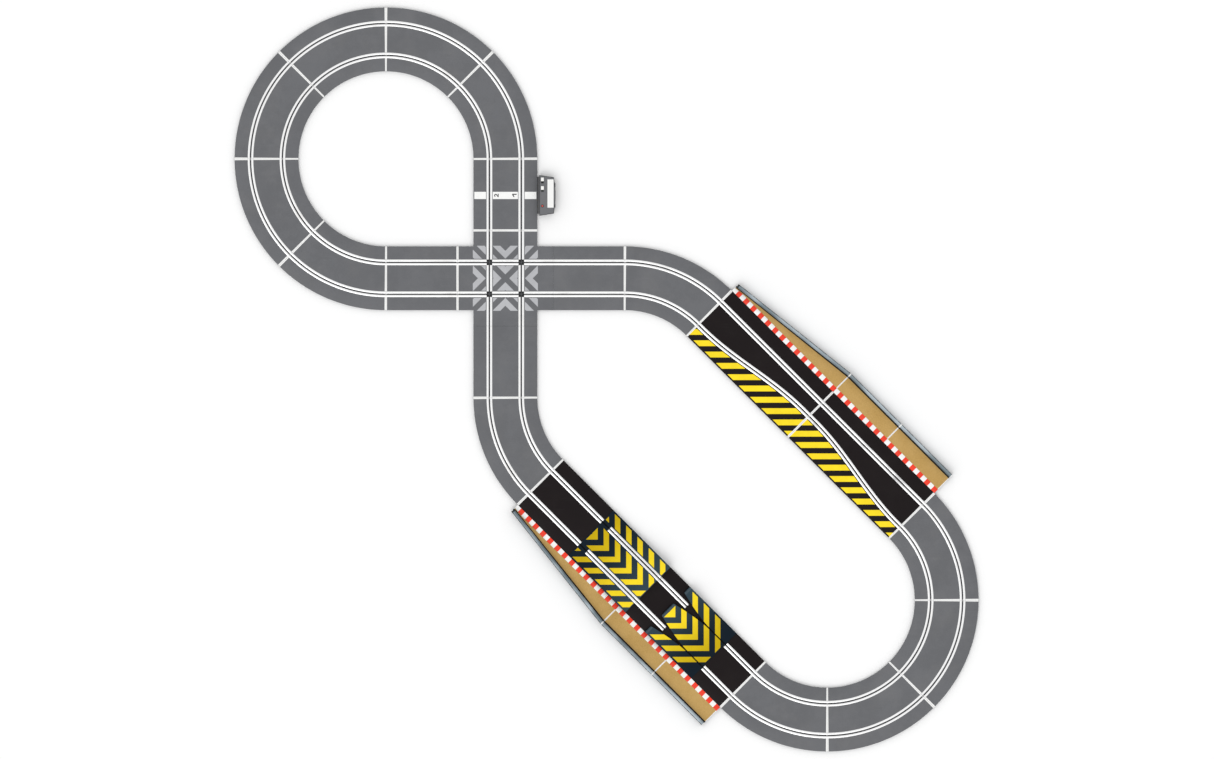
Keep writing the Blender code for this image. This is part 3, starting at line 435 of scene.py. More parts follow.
TRACK_GREY = (0.122, 0.125, 0.134)
TRACK_BLACK = (0.0075, 0.0045, 0.005)
PALE_PRINT = (0.43, 0.435, 0.455)
WHITE_PRINT = (0.85, 0.85, 0.84)
YELLOW_PRINT = (0.93, 0.70, 0.018)
# The darker yellow is painted shade, for the low end of the ramps.
YELLOW_PAINTED_SHADE = (0.52, 0.36, 0.0)
NAVY = (0.0015, 0.008, 0.016)
# The lighter navy is painted light, for the high end and the lips of the ramps.
NAVY_PAINTED_LIGHT = (0.030, 0.056, 0.074)


def crossing_print(tree):
    """Pale bands at 45 degrees either side of both diagonals, inside the square where the lanes cross, and
    white bands at two ends.
    """
    along, across = section_axes(tree, CROSSING)
    x, y = maths(tree, "ABSOLUTE", along), maths(tree, "ABSOLUTE", across)
    from_diagonal = maths(tree, "ABSOLUTE", maths(tree, "SUBTRACT", x, y))
    bands = maths(tree, "ADD", *(between(tree, from_diagonal, *band) for band in CROSSING_BANDS))
    inside = maths(tree, "LESS_THAN", maths(tree, "MAXIMUM", x, y), CROSSING_PRINT_EDGE)
    for axis in (x, y):
        from_lane = maths(tree, "ABSOLUTE", maths(tree, "SUBTRACT", axis, LANE))
        clear = maths(tree, "GREATER_THAN", from_lane, RAIL_STEP + CROSSING_RAIL_MARGIN)
        inside = maths(tree, "MULTIPLY", inside, clear)
    printed = mixed(tree, maths(tree, "MULTIPLY", bands, inside), TRACK_GREY, PALE_PRINT)
    end = CROSSING_ARM - JOINT_GAP / 2 - END_BAND
    ends = maths(tree, "ADD", maths(tree, "LESS_THAN", along, -end), maths(tree, "GREATER_THAN", across, end))
    return mixed(tree, ends, printed, WHITE_PRINT)


def hazard_print(tree):
    """Yellow stripes at 45 degrees down the squeeze's inner edge."""
    along, across = section_axes(tree, SQUEEZE)
    diagonal = maths(tree, "ADD", along, maths(tree, "ABSOLUTE", across))
    drawn = stripes(tree, diagonal, HAZARD_START, HAZARD_STRIPE, HAZARD_PERIOD)
    return mixed(tree, drawn, TRACK_BLACK, YELLOW_PRINT)


def chevron_print_and_painted_shading(start, count, first, last, bright_from, bright_to, lane_clear=0.0, tips_from=0.0):
    """Chevrons that point down the jump. They and the plastic are brighter towards the high end: painted
    shading, with painted shade at the foot and painted light at the crest. They keep clear of the lanes where
    asked, and outside the lanes they start at the tips' distance.
    """
    def draw(tree):
        along, across = section_axes(tree, JUMP)
        side = maths(tree, "ABSOLUTE", across)
        from_lane = maths(tree, "ABSOLUTE", maths(tree, "SUBTRACT", side, LANE))
        diagonal = maths(tree, "ADD", along, side)
        drawn = stripes(tree, diagonal, start, CHEVRON_STRIPE, CHEVRON_PERIOD)
        limits = [
            between(tree, along, first, last),
            maths(tree, "LESS_THAN", side, HALF_WIDTH - CHEVRON_MARGIN),
            maths(tree, "GREATER_THAN", from_lane, lane_clear),
            maths(tree, "LESS_THAN", diagonal, start + count * CHEVRON_PERIOD),
            maths(tree, "MAXIMUM", maths(tree, "LESS_THAN", side, LANE),
                  maths(tree, "GREATER_THAN", diagonal, tips_from)),
        ]
        for limit in limits:
            drawn = maths(tree, "MULTIPLY", drawn, limit)
        # Painted shading by distance along the ramp: darker yellow and navy at the foot as painted shade,
        # lighter at the high end as painted light.
        high = maths(tree, "DIVIDE", maths(tree, "SUBTRACT", along, bright_from), bright_to - bright_from)
        ink_with_painted_shading = mixed(tree, spread(tree, high, 0, 1), YELLOW_PAINTED_SHADE, YELLOW_PRINT)
        body = mixed(tree, spread(tree, high, 0.2, 1.1), NAVY, NAVY_PAINTED_LIGHT)
        return mixed(tree, drawn, body, ink_with_painted_shading)
    return draw


def barrier_painted_sheen(dark, light):
    """Long soft light and dark streaks along the barrier, a painted sheen."""
    def draw(tree):
        slow = noise(tree, object_position(tree), 13, 1)
        return mixed(tree, spread(tree, slow, 0.38, 0.62), dark, light)
    return draw


GREY_TRACK = plastic("grey_track_plastic", TRACK_GREY)
BLACK_TRACK = plastic("black_track_plastic", TRACK_BLACK, specular=0.12, dust=0.006, scuffs=0.06)
CROSSING_TRACK = plastic("crossing_printed_plastic", crossing_print)
HAZARD = plastic("squeeze_hazard_print", hazard_print, specular=0.12, dust=0.006, scuffs=0.06)
TAKEOFF = plastic(
    "takeoff_chevron_print_and_painted_shading",
    chevron_print_and_painted_shading(TAKEOFF_CHEVRONS, TAKEOFF_CHEVRON_COUNT, TAKEOFF_START + PRINT_FOOT,
                  TAKEOFF_END - PRINT_CREST, TAKEOFF_START, TAKEOFF_END, CHEVRON_LANE_MARGIN),
    specular=0.1, dust=0.006, scuffs=0.06,
)
LANDING = plastic(
    "landing_chevron_print_and_painted_shading",
    chevron_print_and_painted_shading(LANDING_CHEVRONS, LANDING_CHEVRON_COUNT, LANDING_START + LANDING_LIP + PRINT_LIP,
                  LANDING_END - PRINT_FOOT, LANDING_END, LANDING_START,
                  tips_from=LANDING_CHEVRONS + LANDING_TIPS * CHEVRON_PERIOD),
    specular=0.1, dust=0.006, scuffs=0.06,
)
RAMP_PLAIN = plastic("ramp_navy_plastic", NAVY, specular=0.1, dust=0.004, scuffs=0.05)
# A lighter copy of the navy ramp plastic for the lips and the crest's edge: painted light.
RAMP_EDGE_PAINTED_LIGHT = plastic("ramp_edge_painted_light", NAVY_PAINTED_LIGHT, 0.34, 0.45, dust=0.01, scuffs=0.1)
END_WHITE = plastic("white_end_band", WHITE_PRINT, 0.5, 0.3, 0.03, 0.1, 0.04)
START_WHITE = plastic("white_start_band", (0.88, 0.88, 0.87), 0.5, 0.3, 0.03, 0.1, 0.04)
NUMERAL_INK = plastic("lane_number_ink", (0.03, 0.03, 0.032), 0.5, 0.2)
RAIL_METAL = metal("rail_metal", (0.90, 0.90, 0.90), (0.52, 0.50, 0.47))
# The dulled rails' strong dark smears stand in for the metal's reflection: painted reflection on top of
# tarnish.
RAIL_TARNISH_AND_PAINTED_REFLECTION = metal("rail_metal_tarnish_and_painted_reflection", (0.90, 0.90, 0.90), (0.20, 0.20, 0.21), 0.26, 0.75)
INSULATOR = plastic("crossing_insulator", (0.010, 0.010, 0.011), 0.4, 0.2, dust=0.01)
KERB_WHITE = plastic("kerb_white_paint", (0.88, 0.88, 0.87), 0.4, 0.35, 0.03, 0.12, 0.04)
KERB_RED = plastic("kerb_red_paint", (0.84, 0.045, 0.018), 0.4, 0.25, 0.04, 0.12, 0.02)
RUN_OFF = gravel("gravel_run_off", (0.55, 0.35, 0.115), (0.30, 0.17, 0.05))
EDGE_BLACK = plastic("border_edge_black", (0.008, 0.008, 0.008), 0.5, 0.12, dust=0.004)
# The guard's light and dark streaks are a painted sheen.
BARRIER_BLUE = plastic("barrier_plastic", barrier_painted_sheen((0.115, 0.155, 0.18), (0.32, 0.38, 0.42)),
                       0.38, 0.4, 0.05)
# A lighter copy of the barrier plastic for the guard's top faces: painted light.
BARRIER_TOP_PAINTED_LIGHT = plastic("barrier_top_painted_light", barrier_painted_sheen((0.17, 0.215, 0.24), (0.40, 0.46, 0.50)),
                        0.38, 0.4, 0.05)
# Near-black for the barrier's foot, painted shade where it lies low under the guard; the lead-in's end cap
# uses it too.
BARRIER_DARK_AND_PAINTED_SHADE = plastic("barrier_foot_painted_shade_and_dark_cap", (0.012, 0.017, 0.018), 0.45, 0.25, dust=0.01)
BOX_GREY = plastic("control_cover_plastic", (0.135, 0.138, 0.147), 0.5, 0.3, 0.06, 0.3, 0.06, 0.5)
BOX_DARK = plastic("control_housing_plastic", (0.035, 0.036, 0.04), 0.5, 0.3, 0.06, 0.3, 0.04, 0.5)
FLANGE_GREY = plastic("control_flange_plastic", (0.12, 0.12, 0.125), 0.5, 0.3)
SOCKET_BLACK = plastic("socket_plastic", (0.012, 0.012, 0.013), 0.35, 0.4, dust=0.01)
SWITCH_WHITE = plastic("switch_plastic", (0.88, 0.88, 0.86), 0.35, 0.4, 0.03, 0.15, 0.03)
LABEL_WHITE = plastic("label_card", (0.86, 0.86, 0.85), 0.55, 0.25, 0.02, 0.1, 0.03)
BOARD_GREEN = plastic("board_lacquer", (0.02, 0.14, 0.05), 0.3, 0.5, 0.1)
FEED_BRASS = metal("feed_brass", (0.72, 0.52, 0.22), (0.35, 0.22, 0.08))
SCREW_STEEL = metal("screw_steel", (0.62, 0.61, 0.58), (0.30, 0.27, 0.24), 0.35)


def lens_finish():
    """Red see-through plastic with a glossy coat."""
    material, tree, shader = new_finish("indicator_lens_plastic", 0.12)
    tinted = with_effect(tree, "grain", object_position(tree))
    red = mixed(tree, tinted["Tone"], (0.62, 0.03, 0.02), (0.78, 0.07, 0.04))
    feed(tree, shader.inputs["Base Color"], red)
    shader.inputs["Coat Weight"].default_value = 0.6
    shader.inputs["Transmission Weight"].default_value = 0.15
    relief(tree, shader, tinted["Grain"], 0.02 * MM, 0.1)
    return material


LENS_RED = lens_finish()

# Making and placing


def put(name, bm, place, body, slot, finishes, *nodes):
    """Makes one finished piece of a section's shape, with its place in its mesh and a body to ride on."""
    placed_copy = bm.copy()
    bmesh.ops.transform(placed_copy, matrix=place, verts=placed_copy.verts)
    mesh = bpy.data.meshes.new(name)
    placed_copy.to_mesh(mesh)
    placed_copy.free()
    for finish in finishes:
        mesh.materials.append(finish)
    mesh.shade_smooth()
    mesh.set_sharp_from_angle(angle=SHADED_SHARP)
    piece = bpy.data.objects.new(name, mesh)
    bpy.context.scene.collection.objects.link(piece)
    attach(piece, body)
    if nodes:
        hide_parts(*nodes)
    return piece


def finish_solid(name, finish):
    """Gives its finish to a solid that is shown as it is."""
    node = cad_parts[name]
    node.data.materials.clear()
    node.data.materials.append(finish)


def only_verts(geometry):
    return [item for item in geometry if isinstance(item, bmesh.types.BMVert)]


def only_faces(geometry):
    return [item for item in geometry if isinstance(item, bmesh.types.BMFace)]


def joined(bm, other):
    """Adds another shape to a shape, which takes its place."""
    holder = bpy.data.meshes.new("holder")
    other.to_mesh(holder)
    other.free()
    bm.from_mesh(holder)
    bpy.data.meshes.remove(holder)


def turned_out(bm):
    """Turns all faces outward."""
    bmesh.ops.recalc_face_normals(bm, faces=bm.faces)
    return bm


def pushed(bm, faces, rise):
    """Pushes a region of faces up without leaving any behind, and gives the faces at its new height."""
    raised = bmesh.ops.extrude_face_region(bm, geom=faces)["geom"]
    bmesh.ops.delete(bm, geom=[face for face in faces if face.is_valid], context="FACES")
    bmesh.ops.translate(bm, vec=(0, 0, rise), verts=only_verts(raised))
    return only_faces(raised)


def draw_out(bm, outline, stops, radius=None, rounded=(), edge=TOP_EDGE, mark=0):
    """Draws an outline of (across, height) points out from stop to stop, straight along x or round a
    circle of that radius, as one closed bar. The corners named in rounded are eased first."""
    if radius:
        corners = [(radius - across, 0, height) for across, height in outline]
    else:
        corners = [(0, across, height) for across, height in outline]
    verts = [bm.verts.new(corner) for corner in corners]
    face = bm.faces.new(verts)
    face.material_index = mark
    if rounded:
        eased = bmesh.ops.bevel(bm, geom=[verts[number] for number in rounded], offset=edge, segments=2,
                                profile=0.5, affect="VERTICES", material=-1)
        face = max(eased["verts"][0].link_faces, key=lambda found: len(found.verts))
    verts = list(face.verts)
    if radius:
        bmesh.ops.rotate(bm, cent=(0, 0, 0), matrix=Matrix.Rotation(stops[0] / radius, 3, "Z"), verts=verts)
    else:
        bmesh.ops.translate(bm, vec=(stops[0], 0, 0), verts=verts)
    geometry = [face, *face.edges, *face.verts]
    for start, end in pairwise(stops):
        turn, step = ((end - start) / radius, (0, 0, 0)) if radius else (0, (end - start, 0, 0))
        geometry = bmesh.ops.spin(bm, geom=geometry, cent=(0, 0, 0), axis=(0, 0, 1), dvec=step, angle=turn,
                                  steps=1, use_duplicate=False)["geom_last"]
    return bm


def position_on(point, radius):
    """(along, across) of a point of a section, whether it is straight or round a circle."""
    if radius:
        return atan2(point.y, point.x) * radius, radius - hypot(point.x, point.y)
    return point.x, point.y


def bays(start, end, count):
    """Even bays between cross ribs."""
    length = (end - start + RIB) / count
    return [(start + number * length, start + (number + 1) * length - RIB) for number in range(count)]


def spaced(start, end, step):
    """Stops from start to end, no further apart than the step."""
    count = max(1, round((end - start) / step + 0.49))
    return [start + (end - start) * number / count for number in range(count + 1)]


def gathered(*groups):
    """Stops in order, without those that nearly coincide."""
    kept = []
    for stop in sorted(stop for group in groups for stop in group):
        if not kept or stop - kept[-1] > 0.02 * MM:
            kept.append(stop)
    return kept


def hollow_out(bm, rows, columns, rise, radius=None):
    """Pushes the underside up between the ribs and the walls, so that each bay is an open pocket."""
    bm.faces.ensure_lookup_table()
    bm.normal_update()
    underside = [(face, *position_on(face.calc_center_median(), radius)) for face in bm.faces
                 if face.normal.z < -0.9 and face.calc_center_median().z < 0.5 * MM]
    for start, end in rows:
        for near, far in columns:
            bay = [face for face, along, across in underside if start < along < end and near < across < far]
            if bay:
                pushed(bm, bay, rise)


CHANNEL = SLOT_HALF + SLOT_WEB
BED_COLUMNS = ((-HALF_WIDTH + BED_WALL, -LANE - CHANNEL), (CHANNEL - LANE, LANE - CHANNEL),
               (LANE + CHANNEL, HALF_WIDTH - BED_WALL))


def lane_outline(lane, top):
    """A lane's rail steps and slot, from its left to its right."""
    step, floor = top - RAIL_STEP_DEPTH, top - SLOT_DEPTH
    half = [(RAIL_STEP, top), (RAIL_STEP, step), (SLOT_HALF, step), (SLOT_HALF, floor)]
    return ([(lane - across, height) for across, height in half]
            + [(lane + across, height) for across, height in reversed(half)])


def bed_outline(margin=None):
    """A bed across the track. A margin adds a line down the inner edge, for the hazard print."""
    outline = [(-HALF_WIDTH, 0), (-HALF_WIDTH, BED_HEIGHT)]
    if margin:
        outline += [(margin - HALF_WIDTH, BED_HEIGHT), (-LANE - RAIL_STEP - HAZARD_RAIL_MARGIN, BED_HEIGHT)]
    outline += lane_outline(-LANE, BED_HEIGHT) + lane_outline(LANE, BED_HEIGHT)
    outline += [(HALF_WIDTH, BED_HEIGHT), (HALF_WIDTH, 0)]
    outline += [(edge, 0) for column in reversed(BED_COLUMNS) for edge in reversed(column)]
    return outline


def add_block(bm, low_corner, high_corner, edge=0.3 * MM, mark=0):
    """A small block with eased edges."""
    low_corner, high_corner = Vector(low_corner), Vector(high_corner)
    made = bmesh.ops.create_cube(bm, size=1)["verts"]
    bmesh.ops.scale(bm, vec=high_corner - low_corner, verts=made)
    bmesh.ops.translate(bm, vec=(low_corner + high_corner) / 2, verts=made)
    faces = {face for vert in made for face in vert.link_faces}
    for face in faces:
        face.material_index = mark
    if edge:
        edges = list({line for face in faces for line in face.edges})
        bmesh.ops.bevel(bm, geom=edges, offset=edge, segments=2, profile=0.5, affect="EDGES", material=-1)


def add_end_tongue(bm, place, turn):
    """The clip tongue that reaches under the next section."""
    tongue = bmesh.new()
    add_block(tongue, (-BED_WALL / 2, -CLIP_OFFSET - CLIP_WIDTH / 2, CLIP_BASE),
              (CLIP_LENGTH, -CLIP_OFFSET + CLIP_WIDTH / 2, CLIP_BASE + CLIP_HEIGHT), 0.5 * MM)
    bmesh.ops.transform(tongue, matrix=Matrix.Translation((*place, 0)) @ Matrix.Rotation(turn, 4, "Z"),
                        verts=tongue.verts)
    joined(bm, tongue)


def bed(length, step=None, radius=None, margin=None, near_band=True):
    """A section's bed with white end bands (material 1) and the hazard column (material 2)."""
    start, end = JOINT_GAP / 2, length - JOINT_GAP / 2
    rows = bays(start + BED_WALL, end - BED_WALL, round(length / RIB_SPACING))
    stops = gathered([start, start + END_BAND, end - END_BAND, end], [edge for row in rows for edge in row],
                     spaced(start, end, step) if step else [])
    outline = bed_outline(margin)
    bm = draw_out(bmesh.new(), outline, stops, radius, rounded=(1, len(outline) - 8))
    turned_out(bm)
    hollow_out(bm, rows, BED_COLUMNS, BED_HEIGHT - BED_SKIN, radius)
    bm.normal_update()
    for face in bm.faces:
        middle = face.calc_center_median()
        along, across = position_on(middle, radius)
        if face.normal.z < 0.5:
            continue
        if end - along < END_BAND or near_band and along - start < END_BAND:
            face.material_index = 1
        elif margin and margin - HALF_WIDTH < across < -LANE - RAIL_STEP - HAZARD_RAIL_MARGIN:
            face.material_index = 2
    if radius:
        finish = end / radius
        first = (radius * cos(start / radius), radius * sin(start / radius))
        last = (radius * cos(finish), radius * sin(finish))
        ends = ((first, start / radius - pi / 2), (last, finish + pi / 2))
    else:
        ends = (((start, 0), pi), ((end, 0), 0))
    for place, turn in ends:
        add_end_tongue(bm, place, turn)
    return bm


def rail_outline(near, far):
    """A rail strip across the track."""
    return [(near, RAIL_BOTTOM), (near, RAIL_TOP), (far, RAIL_TOP), (far, RAIL_BOTTOM)]


RAIL_SPANS = [sorted((lane + side * RAIL_NEAR, lane + side * RAIL_FAR)) for lane in (-LANE, LANE)
              for side in (-1, 1)]


def add_rails(bm, stops, radius=None, spans=RAIL_SPANS):
    """Rail strips from stop to stop, with eased top edges."""
    for near, far in spans:
        draw_out(bm, rail_outline(near, far), stops, radius, rounded=(1, 2), edge=RAIL_EDGE)
    return bm


def rails(stops, radius=None):
    """The four rail strips of a section."""
    return turned_out(add_rails(bmesh.new(), stops, radius))


def squeeze_offset(x):
    """The inner lane's distance from the centreline, x being measured from the squeeze's outer end."""
    run = min(max((x - SQUEEZE_START) / SQUEEZE_RUN, 0), 1)
    return -LANE + SQUEEZE_SHIFT * (1 - cos(pi * run)) / 2


def swing_lane(bm, mirrored):
    """Moves everything that belongs to the inner lane sideways, as the squeeze does."""
    for vert in bm.verts:
        if abs(vert.co.y + LANE) < RAIL_STEP + HAZARD_RAIL_MARGIN + MM:
            x = STRAIGHT - vert.co.x if mirrored else vert.co.x
            vert.co.y += squeeze_offset(x) + LANE


# Sections

half_rails = rails([JOINT_GAP / 2, HALF_STRAIGHT - JOINT_GAP / 2])
for name, place, turn in (("left", (-CROSSING_ARM, 0), pi), ("right", (CROSSING_ARM, 0), 0),
                          ("lower", (0, -CROSSING_ARM), -pi / 2)):
    node = f"half_straight_{name}"
    put(node + "_moulding", bed(HALF_STRAIGHT, near_band=name == "left"), placed(place, turn), "track",
        "grey_track", [GREY_TRACK, END_WHITE], node)
    put(node + "_rails", half_rails, placed(place, turn), "track", "rail_metal", [RAIL_METAL])

arc = CURVE_RADIUS * CURVE_ANGLE
curve_bed = bed(arc, CURVE_STEP, CURVE_RADIUS)
curve_rails = rails(spaced(JOINT_GAP / 2, arc - JOINT_GAP / 2, CURVE_STEP), CURVE_RADIUS)
curves = [(f"small_loop_curve_{step + 1}", (-CURVE_RADIUS, CURVE_RADIUS), step * CURVE_ANGLE)
          for step in range(6)]
curves += [("bend_to_squeeze", (CURVE_RADIUS, -CURVE_RADIUS), pi / 4),
           ("bend_to_jump", (CURVE_RADIUS, -CURVE_RADIUS), pi)]
curves += [(f"far_loop_curve_{step + 1}", (FAR_END, -FAR_END), radians(-135) + step * CURVE_ANGLE)
           for step in range(4)]
for node, place, turn in curves:
    put(node + "_moulding", curve_bed, placed(place, turn), "track", "grey_track",
        [GREY_TRACK, END_WHITE], node)
    put(node + "_rails", curve_rails, placed(place, turn), "track", "rail_metal", [RAIL_METAL])

for number in range(2):
    node = f"squeeze_bed_{number + 1}"
    place = SQUEEZE @ Matrix.Translation((number * STRAIGHT, 0, 0))
    moulding = bed(STRAIGHT, SQUEEZE_STEP, margin=HAZARD_MARGIN)
    swing_lane(moulding, number == 1)
    put(node + "_moulding", moulding, place, "track", "black_track", [BLACK_TRACK, END_WHITE, HAZARD], node)
    strips = rails(spaced(JOINT_GAP / 2, STRAIGHT - JOINT_GAP / 2, SQUEEZE_STEP))
    swing_lane(strips, number == 1)
    put(node + "_rails", strips, place, "track", "rail_metal", [RAIL_TARNISH_AND_PAINTED_REFLECTION])

jump_bed = bed(STRAIGHT)
for number in range(2):
    node = f"jump_bed_{number + 1}"
    start = number * STRAIGHT
    place = JUMP @ Matrix.Translation((start, 0, 0))
    put(node + "_moulding", jump_bed, place, "track", "black_track", [BLACK_TRACK, END_WHITE], node)
    stretches = [(0, STRAIGHT)]
    if number:
        stretches = [(0, JUMP_RAIL_GAP[0] - start), (JUMP_RAIL_GAP[1] - start, STRAIGHT)]
    for stretch, (first, last) in enumerate(stretches):
        strips = rails([max(first, JOINT_GAP / 2), min(last, STRAIGHT - JOINT_GAP / 2)])
        put(f"{node}_rails_{stretch + 1}", strips, place, "track", "rail_metal", [RAIL_TARNISH_AND_PAINTED_REFLECTION])

# Crossing


def crossing_solid(x, y, z):
    """Whether the crossing's plastic fills a point of its plus, with slots above and pockets below."""
    arm = CROSSING_ARM - JOINT_GAP / 2
    shorter, longer = sorted((abs(x), abs(y)))
    if longer > arm or shorter > HALF_WIDTH:
        return False
    from_lane = min(abs(shorter - LANE), abs(longer - LANE))
    if from_lane < SLOT_HALF:
        return z < BED_HEIGHT - SLOT_DEPTH
    hollow = shorter < HALF_WIDTH - BED_WALL and longer < arm - BED_WALL and from_lane > CHANNEL
    top = BED_HEIGHT - RAIL_STEP_DEPTH if from_lane < RAIL_STEP else BED_HEIGHT
    return (BED_HEIGHT - BED_SKIN if hollow else 0) < z < top


def crossing_bed():
    """The crossing built up from cells between the lines where its plastic changes height, then joined up."""
    arm = CROSSING_ARM - JOINT_GAP / 2
    places = [LANE + side * edge for side in (-1, 1) for edge in (SLOT_HALF, CHANNEL, RAIL_STEP)]
    places += [HALF_WIDTH - BED_WALL, HALF_WIDTH, arm - BED_WALL, arm]
    across = sorted([-place for place in places] + places)
    levels = [0, BED_HEIGHT - SLOT_DEPTH, BED_HEIGHT - BED_SKIN, BED_HEIGHT - RAIL_STEP_DEPTH, BED_HEIGHT]
    lines = (across, across, levels)
    corners = {}
    bm = bmesh.new()

    def filled(cell):
        if any(not 0 <= number < len(line) - 1 for number, line in zip(cell, lines)):
            return False
        return crossing_solid(*((line[number] + line[number + 1]) / 2 for number, line in zip(cell, lines)))

    def corner(cell):
        if cell not in corners:
            corners[cell] = bm.verts.new([line[number] for number, line in zip(cell, lines)])
        return corners[cell]

    for cell in product(*(range(len(line) - 1) for line in lines)):
        if not filled(cell):
            continue
        for axis in range(3):
            for side in (0, 1):
                beyond = list(cell)
                beyond[axis] += 2 * side - 1
                if filled(tuple(beyond)):
                    continue
                quad = []
                for first, second in ((0, 0), (1, 0), (1, 1), (0, 1)):
                    point = list(cell)
                    point[axis] += side
                    point[(axis + 1) % 3] += first
                    point[(axis + 2) % 3] += second
                    quad.append(corner(tuple(point)))
                bm.faces.new(quad if side else quad[::-1])
    bmesh.ops.dissolve_limit(bm, angle_limit=radians(1), verts=bm.verts, edges=bm.edges)
    upper = [edge for edge in bm.edges if edge.is_convex
             and min(vert.co.z for vert in edge.verts) > BED_HEIGHT - TINY]
    walls = [face for face in bm.faces if abs(face.normal.z) < 0.5 and face.calc_area() > OUTER_WALL_AREA]
    outer = [edge for edge in upper if any(face in walls for face in edge.link_faces)]
    bmesh.ops.bevel(bm, geom=outer, offset=TOP_EDGE, segments=2, profile=0.5, affect="EDGES", material=-1)
    return turned_out(bm)


def crossing_rails():
    """Rail strips that stop at the insulators where two lanes cross."""
    bm = bmesh.new()
    arm = CROSSING_ARM - JOINT_GAP / 2
    stops = [-arm, -LANE - RAIL_FAR, RAIL_FAR - LANE, LANE - RAIL_FAR, LANE + RAIL_FAR, arm]
    for first, last in zip(stops[::2], stops[1::2]):
        add_rails(bm, [first, last])
    across = bm.copy()
    bmesh.ops.rotate(across, cent=(0, 0, 0), matrix=Matrix.Rotation(pi / 2, 3, "Z"), verts=across.verts)
    joined(bm, across)
    return turned_out(bm)


def insulators():
    """Four dark pads, one in each corner between the rails where the slots cross."""
    bm = bmesh.new()
    near, far = SLOT_HALF + 0.1 * MM, RAIL_FAR - 0.4 * MM
    for x, y, side_x, side_y in product((-LANE, LANE), (-LANE, LANE), (-1, 1), (-1, 1)):
        xs = sorted((x + side_x * near, x + side_x * far))
        ys = sorted((y + side_y * near, y + side_y * far))
        add_block(bm, (xs[0], ys[0], RAIL_BOTTOM), (xs[1], ys[1], RAIL_TOP - 0.05 * MM), 0.25 * MM)
    return turned_out(bm)


crossing = crossing_bed()
for turn in (0, pi / 2, pi, 3 * pi / 2):
    arm = CROSSING_ARM - JOINT_GAP / 2
    add_end_tongue(crossing, (arm * cos(turn), arm * sin(turn)), turn)
crossing.normal_update()
for face in crossing.faces:
    face.material_index = 0 if face.normal.z > 0.5 else 1
put("crossing_moulding", crossing, CROSSING, "track", "grey_track", [CROSSING_TRACK, GREY_TRACK],
    "crossing_bed")
put("crossing_rails", crossing_rails(), CROSSING, "track", "rail_metal", [RAIL_METAL])
put("crossing_insulators", insulators(), CROSSING, "track", "black_track", [INSULATOR])

# Power base

power_bed = bed(HALF_STRAIGHT)
put("power_base_moulding", power_bed, POWER, "track", "grey_track", [GREY_TRACK, END_WHITE], "power_base_bed")


def start_band():
    """The white line across the track between the rails, a thin printed film."""
    bm = bmesh.new()
    clear, edge = RAIL_STEP + START_RAIL_MARGIN, HALF_WIDTH - START_EDGE_MARGIN
    for near, far in ((-edge, -LANE - clear), (clear - LANE, LANE - clear), (LANE + clear, edge)):
        add_block(bm, (START_LINE - START_BAND / 2, near, BED_HEIGHT - FILM_SINK),
                  (START_LINE + START_BAND / 2, far, BED_HEIGHT + FILM), 0)
    return turned_out(bm)


def bow(width, height):
    """The round top of a 2, from its free end over and down to the right."""
    return [(width * cos(radians(turn)), 7.1 + height * sin(radians(turn))) for turn in range(165, -36, -25)]


LANE_ONE = [(1.5, 0), (4.1, 0), (4.1, 11), (1.7, 11), (-4.1, 7.4), (-4.1, 4.9), (1.5, 7.6)]
LANE_TWO = [*bow(4.0, 3.9), (-0.9, 2.4), (4.2, 2.4), (4.2, 0), (-4.2, 0), (-4.2, 1.9),
            *reversed(bow(1.6, 1.5))]


def lane_numeral(name, outline, across):
    """A lane's number, inked on the start band and read from the control box's side. Its outline is in
    millimetres.
    """
    bm = bmesh.new()
    face = bm.faces.new([bm.verts.new((x * MM, (y - 5.5) * MM, 0)) for x, y in outline])
    raised = bmesh.ops.extrude_face_region(bm, geom=[face])["geom"]
    bmesh.ops.translate(bm, vec=(0, 0, 0.1 * MM), verts=only_verts(raised))
    place = Matrix.Translation((START_LINE, across, BED_HEIGHT + 0.03 * MM))
    put(name, turned_out(bm), POWER @ place, "track", "black_track", [NUMERAL_INK])


put("start_band", start_band(), POWER, "track", "white_print", [START_WHITE])
lane_numeral("lane_number_2", LANE_TWO, 22 * MM)
lane_numeral("lane_number_1", LANE_ONE, -22 * MM)
for number in range(4):
    finish_solid(f"power_rail_{number + 1}", RAIL_METAL)

# Jump ramps


def takeoff_top(x):
    """Height of the take-off ramp's surface: it curls up, then levels at the crest."""
    run = min(max((x - TAKEOFF_START) / (TAKEOFF_END - CREST_FLAT - TAKEOFF_START), 0), 1)
    return RAMP_BASE + RAMP_FOOT + TAKEOFF_RISE * (1 - cos(pi / 2 * run))


def landing_top(x):
    """Height of the landing ramp's surface: a rounded lip, then down to a thin foot."""
    run = min(max((LANDING_END - x) / (LANDING_END - LANDING_START - LANDING_LIP), 0), 1)
    height = RAMP_BASE + RAMP_FOOT + LANDING_RISE * (1 - cos(pi / 2 * run))
    back = max(0, 1 - (x - LANDING_START) / LANDING_LIP)
    return height - LANDING_LIP * (1 - sqrt(1 - min(back, 1) ** 2))


def funnel_half_width(x):
    """The landing funnel narrows smoothly from its mouth to the guide slot."""
    run = min(max((x - LANDING_START) / (FUNNEL_THROAT_END - LANDING_START), 0), 1)
    corner = max(0, FINGER_CORNER - (x - LANDING_START))
    rounding = FINGER_CORNER - sqrt(max(FINGER_CORNER ** 2 - corner ** 2, 0))
    return SLOT_HALF + (FUNNEL_MOUTH - SLOT_HALF) * (1 - run) ** 1.5 + rounding


